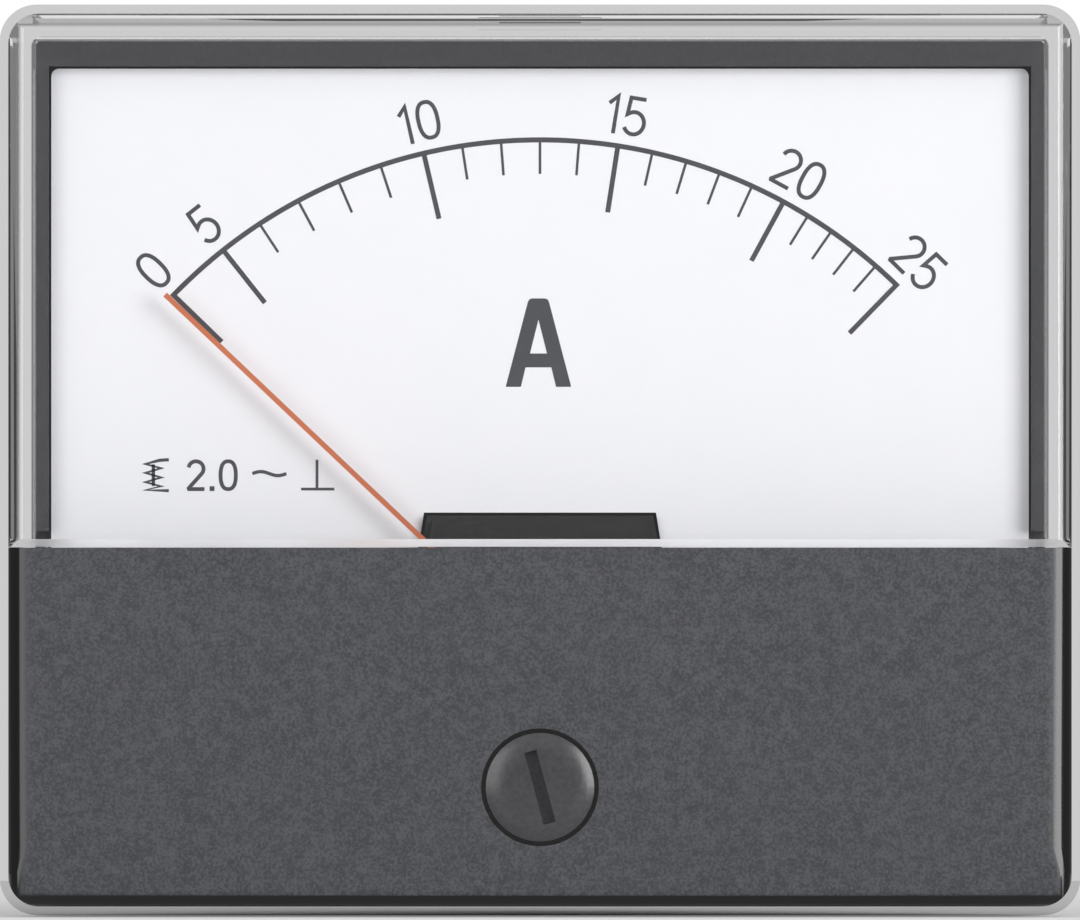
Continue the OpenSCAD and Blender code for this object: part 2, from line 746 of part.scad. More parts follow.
// Steel spindle with a conical pivot at each end.
module spindle() {
    tip_r = 0.05;
    pivot_r = spindle_r - 0.1;
    color([0.7, 0.71, 0.73])
    union() {
        shaft(0, spindle_z, spindle_r, pivot_front_y + pivot_len, pivot_back_y - pivot_len);
        taper(0, spindle_z, tip_r, pivot_front_y, pivot_r, pivot_front_y + pivot_len);
        taper(0, spindle_z, pivot_r, pivot_back_y - pivot_len, tip_r, pivot_back_y);
    }
}

// Red pointer: hub on the spindle, thin blade and the three arms of the balance cross.
module pointer() {
    hub_r = 1.5;
    arm_len = cross_r - weight_r + 0.1;
    blade_inset = 0.1;
    color([0.85, 0.25, 0.1])
    about_spindle(rest_angle) difference() {
        union() {
            slab(cross_y, cross_y + cross_t) {
                circle(hub_r);
                translate([-arm_len, -arm_hw]) square([2 * arm_len, 2 * arm_hw]);
                translate([-arm_hw, -arm_len]) square([2 * arm_hw, arm_len]);
            }
            slab(cross_y + blade_inset, cross_y + cross_t - blade_inset) blade_outline();
        }
        shaft(0, 0, spindle_r + seat, cross_y - 1, cross_y + cross_t + 1);
    }
}

// Outline of the pointer's arm: a wide root that tapers into the thin blade.
module blade_outline() {
    root_hw = 0.5;
    root_len = 7;
    polygon([
        [-root_hw, 0], [-pointer_w / 2, root_len], [-pointer_w / 2, pointer_len],
        [pointer_w / 2, pointer_len], [pointer_w / 2, root_len], [root_hw, 0]
    ]);
}

// Balance weights on the cross's arms.
module balance_weights() {
    color([0.84, 0.7, 0.38])
    about_spindle(rest_angle)
        for (a = [90, 180, 270]) rotate([0, a, 0])
            difference() {
                shaft(0, cross_r, weight_r, weight_y, weight_y + weight_t);
                translate([-arm_hw - seat, cross_y - seat, 0])
                    cube([2 * (arm_hw + seat), cross_t + 2 * seat, cross_r - weight_r + 0.1 + seat]);
            }
}

// Aluminium damping vane: ring on the spindle, arm and flanged paddle.
module damping_vane() {
    vane_y = (lid_back_y + plate_y) / 2;
    hub_t = 1.2;
    hub_r = spindle_r + 0.7;
    arm_t = 0.6;
    lip_w = 1.2;
    paddle_gap = 0.5;
    paddle_y0 = lid_back_y + paddle_gap;
    paddle_y1 = plate_y - paddle_gap;
    color([0.8, 0.81, 0.82])
    about_spindle(rest_angle) union() {
        slab(vane_y - hub_t / 2, vane_y + hub_t / 2) difference() {
            circle(hub_r);
            circle(spindle_r + seat);
        }
        slab(vane_y - arm_t / 2, vane_y + arm_t / 2) difference() {
            translate([-arm_t / 2, 0]) square([arm_t, paddle_in_r + 1]);
            circle(spindle_r + seat + 0.2);
        }
        slab(paddle_y0, paddle_y1) translate([-paddle_t / 2, paddle_in_r])
            square([paddle_t, paddle_out_r - paddle_in_r]);
        slab(paddle_y0, paddle_y1) translate([-lip_w / 2, paddle_out_r - paddle_t]) square([lip_w, paddle_t]);
    }
}

// A strip of iron rolled about the spindle's axis, from angle a0 to a1.
module iron_arc(r0, r1, y0, y1, a0, a1) {
    translate([0, 0, spindle_z]) slab(y0, y1) difference() {
        sector(r1, a0, a1);
        circle(r0);
    }
}

// Moving vane: rolled strip held off the spindle by two webs.
module moving_vane() {
    web_t = 0.35;
    web_half_span = 9;
    hub_r = spindle_r + 0.7;
    half_span = 24;
    color([0.45, 0.46, 0.48])
    union() {
        iron_arc(moving_out_r - iron_t, moving_out_r, iron_y0, iron_y1, rest_angle - half_span, rest_angle + half_span);
        for (y = [iron_y0, iron_y1 - web_t]) translate([0, 0, spindle_z]) slab(y, y + web_t) difference() {
            union() {
                circle(hub_r);
                sector(moving_out_r - iron_t / 4, rest_angle - web_half_span, rest_angle + web_half_span);
            }
            circle(spindle_r + seat);
        }
    }
}

// Fixed vane: strip on the bobbin's bore, which narrows toward its far end.
module fixed_vane() {
    span = 150;
    lead_in = 28;
    steps = 5;
    first_cut = [0.2, 0.14];
    next_cut = [0.16, 0.13];
    a0 = rest_angle - lead_in;
    color([0.45, 0.46, 0.48])
    difference() {
        iron_arc(fixed_out_r - iron_t, fixed_out_r, iron_y0, iron_y1, a0, a0 + span);
        for (i = [0:steps - 1]) about_spindle(a0 + span * (first_cut[0] + next_cut[0] * i))
            translate([0, iron_y0 - 1, 0])
                cube([2 * bore_r, 1 + (iron_y1 - iron_y0) * (first_cut[1] + next_cut[1] * i), 2 * bore_r]);
    }
}

// Bobbin: tube between two flanges, with an ear on each flange for the tie screws.
module coil_bobbin() {
    ear_r = 1.9;
    color([0.75, 0.7, 0.58])
    difference() {
        union() {
            shaft(0, spindle_z, tube_r, bobbin_y, bobbin_back_y);
            for (y = [bobbin_y, bobbin_back_y - bobbin_wall]) {
                shaft(0, spindle_z, bobbin_r, y, y + bobbin_wall);
                for (x = [-1, 1]) shaft(x * tie_x, spindle_z, ear_r, y, y + bobbin_wall);
            }
        }
        shaft(0, spindle_z, bore_r, bobbin_y - 1, bobbin_back_y + 1);
        for (x = [-1, 1]) shaft(x * tie_x, spindle_z, small_screw_r + loose, bobbin_y - 1, bobbin_back_y + 1);
    }
}

// The conductor's path: left terminal, inner layer, outer layer, right terminal.
steps_per_turn = 20;
layer_change = 0.25;
first_y = bobbin_back_y - bobbin_wall - wire_d / 2 - 0.15;
last_inner_y = first_y - inner_turns * turn_pitch;
total_turns = inner_turns + layer_change + outer_turns + 0.25;

function turn_radius(t) =
    t <= inner_turns ? inner_turn_r :
    t >= inner_turns + layer_change ? outer_turn_r :
    inner_turn_r + (outer_turn_r - inner_turn_r) * (t - inner_turns) / layer_change;

function turn_y(t) =
    t <= inner_turns ? first_y - t * turn_pitch :
    t <= inner_turns + layer_change ? last_inner_y :
    last_inner_y + (t - inner_turns - layer_change) * turn_pitch;

// Angle runs counterclockwise as seen from the front, from the bobbin's left side.
function turn_point(t) =
    let (a = -90 - 360 * t, r = turn_radius(t)) [r * sin(a), turn_y(t), spindle_z + r * cos(a)];

function bezier(p, t) =
    (1 - t) ^ 3 * p[0] + 3 * t * (1 - t) ^ 2 * p[1] + 3 * t ^ 2 * (1 - t) * p[2] + t ^ 3 * p[3];

// A lead from the winding's side, up and back into a terminal's solder cup.
function lead(side, r, y) =
    let (
        rise = sqrt(max((bobbin_r + wire_d) ^ 2 - r ^ 2, 1)),
        p = [side * r, y, spindle_z + rise],
        q = [side * terminal_x, cup_y - 2, terminal_rise],
        curve = [p, p + [0, 0, 6], q - [0, 6, 0], q]
    )
    [for (i = [0:10]) bezier(curve, i / 10)];

cup_depth = 1.4;
cup_y = rear_in_y - terminal_head_t;
lead_left = lead(-1, inner_turn_r, first_y);
lead_right = lead(1, outer_turn_r, turn_y(total_turns));

function reversed(v) = [for (i = [len(v) - 1:-1:0]) v[i]];

winding_path = concat(
    [[-terminal_x, cup_y + cup_depth - 0.1, terminal_rise]],
    reversed(lead_left),
    [for (i = [0:round(total_turns * steps_per_turn)]) turn_point(i / steps_per_turn)],
    lead_right,
    [[terminal_x, cup_y + cup_depth - 0.1, terminal_rise]]
);

function unit(v) = v / norm(v);
function tangent(path, i) = unit(path[min(i + 1, len(path) - 1)] - path[max(i - 1, 0)]);
function carried(n, t) = unit(n - (n * t) * t);

// A normal for each point, carried along so that the section never twists.
function normals(path) =
    [for (i = 0, n = carried([0, 0, 1], tangent(path, 0)); i < len(path);
        i = i + 1, n = i < len(path) ? carried(n, tangent(path, i)) : n) n];

// A round bar along a path, with flat ends.
module bar(path, r, sides) {
    ns = normals(path);
    rings = [for (i = [0:len(path) - 1])
        let (t = tangent(path, i), n = ns[i], b = cross(t, n))
        for (k = [0:sides - 1])
            path[i] + r * (cos(360 * k / sides) * n + sin(360 * k / sides) * b)];
    last = len(path) - 1;
    polyhedron(
        points = rings,
        faces = concat(
            [[for (k = [0:sides - 1]) k]],
            [for (i = [0:last - 1], k = [0:sides - 1])
                [i * sides + k, (i + 1) * sides + k, (i + 1) * sides + (k + 1) % sides, i * sides + (k + 1) % sides]],
            [[for (k = [sides - 1:-1:0]) last * sides + k]]
        )
    );
}

// Coil winding with both leads: one length of thick enamelled copper wire.
module coil_winding() {
    color([0.72, 0.36, 0.16])
    bar(winding_path, wire_d / 2 - 0.01, 8);
}

// Plastic bridge that closes the bobbin's back and holds the rear bearing.
module rear_bridge() {
    y0 = bobbin_back_y;
    boss_r = 2.6;
    disc_r = bore_r + 0.6;
    color([0.17, 0.17, 0.18])
    difference() {
        union() {
            slab(y0, y0 + rear_bridge_t) {
                translate([-tie_x, spindle_z - tie_ear_r]) square([2 * tie_x, 2 * tie_ear_r]);
                for (x = [-1, 1]) translate([x * tie_x, spindle_z]) circle(tie_ear_r);
                translate([0, spindle_z]) circle(disc_r);
            }
            shaft(0, spindle_z, boss_r, y0 + rear_bridge_t - 0.01, y0 + rear_bridge_t + rear_boss_t);
        }
        shaft(0, spindle_z, jewel_r + seat, y0 - 1, y0 + 5);
        for (x = [-1, 1]) shaft(x * tie_x, spindle_z, small_screw_r + loose, y0 - 1, y0 + 5);
    }
}

// Two long screws that tie bridge, bobbin and frame together.
module tie_screws() {
    head_y = bobbin_back_y + rear_bridge_t;
    top_y = head_y + tie_head[1];
    slot = [0.9, 0.45];
    end_y = plate_y + 0.2;
    color([0.78, 0.78, 0.76])
    for (x = [-1, 1]) union() {
        difference() {
            shaft(x * tie_x, spindle_z, tie_head[0], head_y, top_y);
            translate([x * tie_x, top_y, spindle_z]) rotate([0, 30 * x, 0])
                cube([2 * tie_head[0] + 1, slot[0], slot[1]], center = true);
        }
        shaft(x * tie_x, spindle_z, small_screw_r, end_y, head_y + 0.01);
    }
}

// Rear bearing screw.
module rear_jewel_screw() {
    color([0.84, 0.7, 0.38])
    jewel_screw(jewel_r, pivot_back_y - 0.6, rear_screw_back_y, false);
}

// Terminal stud: round head with a solder cup inside the barrel, shank through the rear
// wall and both nuts, a run-out groove behind the nuts, and a free tail for nuts and lugs.
module terminal_stud(side) {
    color([0.83, 0.7, 0.4])
    difference() {
        union() {
            shaft(side * terminal_x, terminal_rise, terminal_head_r, cup_y, rear_in_y);
            shaft(side * terminal_x, terminal_rise, terminal_r, rear_in_y - 0.01, tail_y);
            shaft(side * terminal_x, terminal_rise, relief_r, tail_y - 0.01, tail_y + relief_w + 0.01);
            shaft(side * terminal_x, terminal_rise, terminal_r, tail_y + relief_w, terminal_end_y - terminal_point);
            taper(side * terminal_x, terminal_rise, terminal_r, terminal_end_y - terminal_point - 0.01,
                terminal_r - terminal_point, terminal_end_y);
        }
        shaft(side * terminal_x, terminal_rise, wire_d / 2 + seat, cup_y - 1, cup_y + cup_depth);
    }
}

module terminal_stud_left() { terminal_stud(-1); }
module terminal_stud_right() { terminal_stud(1); }

// A flat ring on each terminal stud.
module terminal_rings(r, bore, y0, t) {
    for (side = [-1, 1]) translate([side * terminal_x, 0, terminal_rise]) slab(y0, y0 + t) difference() {
        circle(r);
        circle(bore);
    }
}

// Flat washers: one under each fixing nut, one under each clamping nut.
module terminal_washers() {
    color([0.75, 0.75, 0.74]) {
        terminal_rings(washer_r, terminal_r + washer_slack, collar_y, washer_t);
        terminal_rings(washer_r, terminal_r + washer_slack, washer2_y, washer_t);
    }
}

// Split spring washers under the clamping nuts.
module spring_washers() {
    gap = 0.7;
    ring_r = 4.2;
    color([0.62, 0.62, 0.63])
    for (side = [-1, 1]) translate([side * terminal_x, 0, terminal_rise])
        slab(washer2_y + washer_t, nut2_y) difference() {
            circle(ring_r);
            circle(terminal_r + washer_slack);
            rotate(side * 50) translate([0, -gap / 2]) square([ring_r + 1, gap]);
        }
}

// Hexagon nuts with chamfered corners: fixing nuts and clamping nuts.
module terminal_nuts() {
    color([0.83, 0.7, 0.4])
    for (side = [-1, 1], y = [nut1_y, nut2_y])
        hex_nut(side * terminal_x, terminal_rise, nut_flats, terminal_r + seat, y, nut_t);
}

// Hexagon nut along Y with its corners turned off at both ends.
module hex_nut(x, z, flats, bore, y0, t) {
    corner = flats / cos(30) / 2;
    cut = 0.5;
    cut_t = 0.3;
    difference() {
        intersection() {
            translate([x, 0, z]) slab(y0, y0 + t) circle(r = corner, $fn = 6);
            union() {
                taper(x, z, corner - cut, y0, corner, y0 + cut_t);
                shaft(x, z, corner, y0 + cut_t, y0 + t - cut_t);
                taper(x, z, corner, y0 + t - cut_t, corner - cut, y0 + t);
            }
        }
        shaft(x, z, bore, y0 - 1, y0 + t + 1);
    }
}

// Four mounting studs: flat head in front of the flange, neck pressed through it, free shank.
module mounting_studs() {
    color([0.75, 0.75, 0.74])
    for (x = [-1, 1], z = [-1, 1]) let (sx = x * stud_pitch_x / 2, sz = z * stud_pitch_z / 2) union() {
        shaft(sx, sz, stud_head_r, -flange_t - stud_head_t, -flange_t);
        shaft(sx, sz, stud_neck_r, -flange_t - 0.01, 0);
        shaft(sx, sz, stud_r, -0.01, stud_len - stud_point);
        taper(sx, sz, stud_r, stud_len - stud_point - 0.01, stud_r - stud_point, stud_len);
    }
}

front_cover();
lower_mask();
zero_screw();
base_housing();
rear_barrel();
dial_plate();
dial_screws();
movement_frame();
damping_lid();
lid_screws();
movement_screws();
front_bridge();
bridge_screws();
front_jewel_screw();
jewel_lock_nut();
zero_lever();
hairspring();
hairspring_collet();
spindle();
pointer();
balance_weights();
damping_vane();
moving_vane();
fixed_vane();
coil_bobbin();
coil_winding();
rear_bridge();
tie_screws();
rear_jewel_screw();
terminal_stud_left();
terminal_stud_right();
terminal_washers();
terminal_nuts();
spring_washers();
mounting_studs();
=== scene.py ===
"""Looks of a moving-iron panel meter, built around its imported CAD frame.

Metres throughout, in the frame of the part: the front faces -Y, +Z is up, and the
origin is where the barrel's axis crosses the panel's face.
"""

import logging
import math
from dataclasses import dataclass
from enum import Enum
from typing import Any, Callable, Sequence

import bmesh
import bpy
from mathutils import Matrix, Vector


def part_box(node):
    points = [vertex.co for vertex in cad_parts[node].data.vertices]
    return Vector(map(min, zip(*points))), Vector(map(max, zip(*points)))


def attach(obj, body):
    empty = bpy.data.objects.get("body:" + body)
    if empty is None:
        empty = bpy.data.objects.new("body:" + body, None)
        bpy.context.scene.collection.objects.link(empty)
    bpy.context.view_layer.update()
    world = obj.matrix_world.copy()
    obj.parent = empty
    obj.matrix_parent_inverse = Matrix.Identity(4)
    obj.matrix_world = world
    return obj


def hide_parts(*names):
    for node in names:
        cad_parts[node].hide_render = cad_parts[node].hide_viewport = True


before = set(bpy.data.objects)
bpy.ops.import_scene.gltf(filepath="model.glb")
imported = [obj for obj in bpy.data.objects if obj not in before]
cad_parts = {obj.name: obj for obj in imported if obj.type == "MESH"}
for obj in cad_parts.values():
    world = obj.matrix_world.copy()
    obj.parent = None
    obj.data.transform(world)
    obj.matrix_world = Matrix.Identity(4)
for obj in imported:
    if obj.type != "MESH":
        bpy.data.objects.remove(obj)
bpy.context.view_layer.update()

MM = 0.001
# Points of a made mesh nearer than this, in metres, become one.
SAME_POINT = 1e-8
WHITE = (1, 1, 1, 1)
# Numbers of a mix node's factor, two values and result, for each type of data.
MIX_SOCKETS = {"FLOAT": (0, 2, 3, 0), "RGBA": (0, 6, 7, 2)}

Object = bpy.types.Object
Material = bpy.types.Material
Tree = bpy.types.NodeTree
Socket = bpy.types.NodeSocket
Range = tuple[float, float]
Point2 = tuple[float, float]
Point3 = tuple[float, float, float]
Outline = list[Point2]
# Points in metres, and each face's point numbers.
Shape = tuple[list[Vector], list[tuple[int, ...]]]

log = logging.getLogger("panel_meter")


# ---- small helpers


def linear(hex_colour: str) -> tuple[float, float, float, float]:
    """Turns an sRGB hex colour into linear RGBA.

    Args:
        hex_colour: Six hex digits with a leading #.

    Returns:
        Linear red, green, blue and an alpha of 1.
    """

    def channel(text: str) -> float:
        """One sRGB channel as a linear value."""
        c = int(text, 16) / 255
        return c / 12.92 if c <= 0.04045 else ((c + 0.055) / 1.055) ** 2.4

    h = hex_colour.lstrip("#")
    return channel(h[0:2]), channel(h[2:4]), channel(h[4:6]), 1.0


def add_node(
    tree: Tree,
    kind: str,
    settings: dict[str, Any] | None = None,
    inputs: dict[str | int, Any] | None = None,
) -> bpy.types.Node:
    """Adds a node with its settings and links.

    Args:
        tree: The node tree.
        kind: The node's type, such as "ShaderNodeBump".
        settings: Attributes of the node and their values.
        inputs: Sockets by name or index; an output socket is linked, a value is set.

    Returns:
        The new node.
    """
    node = tree.nodes.new(kind)
    for key, value in (settings or {}).items():
        setattr(node, key, value)
    for key, value in (inputs or {}).items():
        if isinstance(value, Socket):
            tree.links.new(value, node.inputs[key])
        else:
            node.inputs[key].default_value = value
    return node


def new_material(name: str) -> tuple[Material, Tree]:
    """Makes an empty node material, returned with its cleared tree."""
    material = bpy.data.materials.new(name)
    material.use_nodes = True
    material.node_tree.nodes.clear()
    return material, material.node_tree


def close_material(tree: Tree, shader: Socket) -> None:
    """Links a shader to a new material output."""
    add_node(tree, "ShaderNodeOutputMaterial", inputs={"Surface": shader})


def close_principled(tree: Tree, inputs: dict[str, Any]) -> None:
    """Links a principled shader with these inputs to a new material output."""
    shader = add_node(tree, "ShaderNodeBsdfPrincipled", inputs=inputs)
    close_material(tree, shader.outputs["BSDF"])


def object_coords(tree: Tree, stretch: Sequence[float] = (1, 1, 1)) -> Socket:
    """Object coordinates in metres, optionally stretched along each axis.

    Args:
        tree: The node tree.
        stretch: Factor of each coordinate; a small one draws a pattern out along it.

    Returns:
        The vector's output socket.
    """
    coords = add_node(tree, "ShaderNodeTexCoord").outputs["Object"]
    if tuple(stretch) == (1, 1, 1):
        return coords
    mapping = add_node(tree, "ShaderNodeMapping", inputs={"Vector": coords, "Scale": stretch})
    return mapping.outputs["Vector"]


def components(tree: Tree, kind: str) -> bpy.types.NodeOutputs:
    """X, Y and Z of one output of a texture coordinate node, such as "Normal"."""
    coords = add_node(tree, "ShaderNodeTexCoord").outputs[kind]
    return add_node(tree, "ShaderNodeSeparateXYZ", inputs={0: coords}).outputs


def noise(tree: Tree, coords: Socket, size_mm: float, detail: float, roughness: float) -> Socket:
    """Value of a noise pattern, from 0 to 1, whose grains have a size in millimetres."""
    return add_node(tree, "ShaderNodeTexNoise", inputs={
        "Vector": coords, "Scale": 1 / (size_mm * MM), "Detail": detail, "Roughness": roughness,
    }).outputs["Fac"]


def map_range(
    tree: Tree, value: Socket, source: Range, result: Range = (0.0, 1.0), smooth: bool = False
) -> Socket:
    """Maps one range of values onto another, held at its ends and eased if smooth."""
    easing = "SMOOTHSTEP" if smooth else "LINEAR"
    return add_node(tree, "ShaderNodeMapRange", {"interpolation_type": easing}, {
        "Value": value, "From Min": source[0], "From Max": source[1],
        "To Min": result[0], "To Max": result[1]}).outputs["Result"]


def compute(tree: Tree, operation: str, *values: Any) -> Socket:
    """Result of a math node on numbers or sockets."""
    node = add_node(tree, "ShaderNodeMath", {"operation": operation}, dict(enumerate(values)))
    return node.outputs["Value"]


def mix(tree: Tree, kind: str, factor: Any, first: Any, second: Any) -> Socket:
    """Blends two "FLOAT" values or "RGBA" colours; a factor of 1 gives the second."""
    factor_at, first_at, second_at, result_at = MIX_SOCKETS[kind]
    node = add_node(tree, "ShaderNodeMix", {"data_type": kind}, {
        factor_at: factor, first_at: first, second_at: second})
    return node.outputs[result_at]


def bump(tree: Tree, strength: Any, depth_mm: float, height: Socket) -> Socket:
    """The normal of a surface whose relief has a depth in millimetres."""
    node = add_node(tree, "ShaderNodeBump", inputs={
        "Strength": strength, "Distance": depth_mm * MM, "Height": height})
    return node.outputs["Normal"]


def new_object(name: str, data: Any) -> Object:
    """Makes an object from its data and links it to the scene."""
    obj = bpy.data.objects.new(name, data)
    bpy.context.scene.collection.objects.link(obj)
    return obj


def mesh_object(
    name: str, verts: Sequence[Sequence[float]], faces: Sequence[Sequence[int]]
) -> Object:
    """Makes a flat-shaded mesh object in the scene.

    Args:
        name: The object's name.
        verts: Points in metres.
        faces: Each face's point numbers.

    Returns:
        The new object.
    """
    mesh = bpy.data.meshes.new(name)
    mesh.from_pydata([tuple(v) for v in verts], [], [tuple(f) for f in faces])
    bm = bmesh.new()
    bm.from_mesh(mesh)
    bmesh.ops.remove_doubles(bm, verts=bm.verts, dist=SAME_POINT)
    bmesh.ops.dissolve_degenerate(bm, edges=bm.edges, dist=SAME_POINT)
    bmesh.ops.recalc_face_normals(bm, faces=bm.faces)
    bm.to_mesh(mesh)
    bm.free()
    for polygon in mesh.polygons:
        polygon.use_smooth = False
    return new_object(name, mesh)


def dress(obj: Object, material: Material) -> None:
    """Gives an object one material in every slot."""
    if not obj.data.materials:
        obj.data.materials.append(material)
    for slot in obj.material_slots:
        slot.material = material


# ---- finishes


class MouldFace(Enum):
    """How the face of the mould was finished, which the plastic copies."""

    SPARK_ERODED = "spark_eroded"
    SATIN = "satin"
    POLISHED = "polished"


# How far the roughness varies over each kind of face.
FACE_SPREAD = {MouldFace.SPARK_ERODED: 0.14, MouldFace.SATIN: 0.08, MouldFace.POLISHED: 0.03}


class Grooves(Enum):
    """Which way the tool marks of a metal piece run."""

    TURNED = "turned"
    ROLLED = "rolled"
    PLATED = "plated"


# Turned marks run round the Y axis, so they vary only along it; rolled ones run along X.
GROOVE_STRETCH = {
    Grooves.TURNED: (0.03, 1, 0.03), Grooves.ROLLED: (0.04, 1, 1), Grooves.PLATED: (1, 1, 1)}


@dataclass(frozen=True)
class MouldedPlastic:
    """An opaque moulded plastic such as ABS or nylon.

    The mould's face gives the eye a fine speckle, or a smooth sheen with faint waves; the speckle's
    lighter colour on the high points of the relief is painted glints.
    """

    name: str
    colour: str
    lighter: str
    roughness: float
    face: MouldFace
    grain_mm: float = 0.17
    depth_mm: float = 0.006
    ior: float = 1.54
    specular: float = 0.5
    # Colour of faces turned from the front: a glossy finish, painted darker as painted shade.
    edge: str | None = None
    edge_roughness: float = 0.13

    # Crest to crest of the drift in sheen, in millimetres.
    flow_mm: float = 6.0
    # Size of a clump of pits in grains, and its share of the relief.
    clump_grains: float = 4.0
    clump_share: float = 0.36
    # Heights of the relief between which the plain colour turns into the lighter one, which is
    # painted glints, and the roughness rises.
    speckle: Range = (0.4, 0.62)
    pit_strength: float = 0.6
    # The normal's Y where a textured face starts and where it is whole; faces turned further away
    # are glossy and take the darker edge colour, which is painted shade.
    textured: Range = (-0.94, -0.995)

    def make(self) -> Material:
        """Builds the material.

        Returns:
            The material, with speckle, roughness and bump from object coordinates.
        """
        material, tree = new_material(self.name)
        coords = object_coords(tree)
        # Pits of the mould's face, one per grain.
        grain = noise(tree, coords, self.grain_mm, 1.0, 0.6)
        # Slow drift in sheen from the melt's flow.
        flow = noise(tree, coords, self.flow_mm, 1.0, 0.5)
        # Coarser clumps of pits, which read as a mottle from a distance.
        clumps = noise(tree, coords, self.grain_mm * self.clump_grains, 2.0, 0.6)
        height = mix(tree, "FLOAT", self.clump_share, grain, clumps)
        speckle = map_range(tree, height, self.speckle)
        # Flow counts half as much as the pits, and both vary about the plain roughness.
        spread = FACE_SPREAD[self.face]
        sheen = compute(tree, "MULTIPLY_ADD", flow, spread * 0.5, self.roughness - spread * 0.75)
        rough = compute(tree, "MULTIPLY_ADD", speckle, spread, sheen)
        # The lighter colour on the high points of the relief is painted glints of the grain's
        # slopes.
        tint = mix(tree, "RGBA", speckle, linear(self.colour), linear(self.lighter))
        strength: Any = self.pit_strength
        if self.edge:
            # Only the face that looks forward is textured; rounded edges and sides are glossy, and
            # their darker colour is painted shade on faces turned from the front.
            facing = map_range(tree, components(tree, "Normal")["Y"], self.textured, smooth=True)
            tint = mix(tree, "RGBA", facing, linear(self.edge), tint)
            rough = mix(tree, "FLOAT", facing, self.edge_roughness, rough)
            strength = compute(tree, "MULTIPLY", facing, self.pit_strength)
        normal = bump(tree, strength, self.depth_mm, height)
        close_principled(tree, {
            "Base Color": tint, "Roughness": rough, "IOR": self.ior,
            "Specular IOR Level": self.specular, "Normal": normal})
        return material


@dataclass(frozen=True)
class ClearMoulding:
    """Clear polystyrene from a polished mould: bright edges, faint flow waves, fine rub marks."""

    name: str = "clear_polystyrene_moulded"
    colour: str = "#FCFCFD"
    roughness: float = 0.0
    ior: float = 1.59
    wave_mm: float = 9.0
    wave_depth_mm: float = 0.0008
    bevel_roughness: float = 0.55

    # Rub marks from wiping: spacing in millimetres, stretch along X, the noise values
    # between which a mark shows, and how rough it is.
    rub_mm: float = 0.1
    rub_stretch: Point3 = (0.08, 1, 1)
    rubbed: Range = (0.66, 0.85)
    rub_roughness: float = 0.05
    # Product of the normal's Y and Z between which a face turns matt; 0.5 is 45 degrees.
    matt_slope: Range = (0.4, 0.47)

    def make(self) -> Material:
        """Builds the material.

        Returns:
            A glass-like material that shadow and diffuse rays pass, so the dial is lit.
        """
        material, tree = new_material(self.name)
        coords = object_coords(tree)
        waves = noise(tree, coords, self.wave_mm, 1.0, 0.4)
        rubs = noise(tree, object_coords(tree, self.rub_stretch), self.rub_mm, 3.0, 0.7)
        rough = map_range(
            tree, rubs, self.rubbed, (self.roughness, self.roughness + self.rub_roughness))
        # The bevel under the window, which looks forward and down, is left matt.
        way = components(tree, "Normal")
        slope = compute(tree, "MULTIPLY", way["Y"], way["Z"])
        matt = map_range(tree, slope, self.matt_slope)
        cut = mix(tree, "FLOAT", matt, rough, self.bevel_roughness)
        normal = bump(tree, 1.0, self.wave_depth_mm, waves)
        plastic = add_node(tree, "ShaderNodeBsdfPrincipled", inputs={
            "Base Color": linear(self.colour), "Roughness": cut, "IOR": self.ior,
            "Transmission Weight": 1.0, "Normal": normal})
        clear = add_node(
            tree, "ShaderNodeBsdfTransparent", inputs={"Color": linear(self.colour)})
        path = add_node(tree, "ShaderNodeLightPath").outputs
        passing = compute(tree, "MAXIMUM", path["Is Shadow Ray"], path["Is Diffuse Ray"])
        either = add_node(tree, "ShaderNodeMixShader", inputs={
            0: passing, 1: plastic.outputs["BSDF"], 2: clear.outputs["BSDF"]})
        close_material(tree, either.outputs["Shader"])
        return material


@dataclass(frozen=True)
class LacquerCoat:
    """A sprayed or printed coat: dial white, pointer orange-red or screen-print ink."""

    name: str
    colour: str
    shade: str
    roughness: float
    peel_mm: float
    peel_depth_mm: float
    ior: float = 1.5

    # Size of the mottle in millimetres, and how far the roughness varies.
    mottle_mm: float = 3.5
    spread: float = 0.1
    peel_strength: float = 0.5

    def make(self) -> Material:
        """Builds the material.

        Returns:
            The coat, with a faint mottle and the orange peel of its film.
        """
        material, tree = new_material(self.name)
        coords = object_coords(tree)
        peel = noise(tree, coords, self.peel_mm, 2.0, 0.5)
        mottle = noise(tree, coords, self.mottle_mm, 2.0, 0.6)
        tint = mix(tree, "RGBA", mottle, linear(self.colour), linear(self.shade))
        rough = compute(
            tree, "MULTIPLY_ADD", peel, self.spread, self.roughness - self.spread / 2)
        normal = bump(tree, self.peel_strength, self.peel_depth_mm, peel)
        close_principled(tree, {
            "Base Color": tint, "Roughness": rough, "IOR": self.ior, "Normal": normal})
        return material


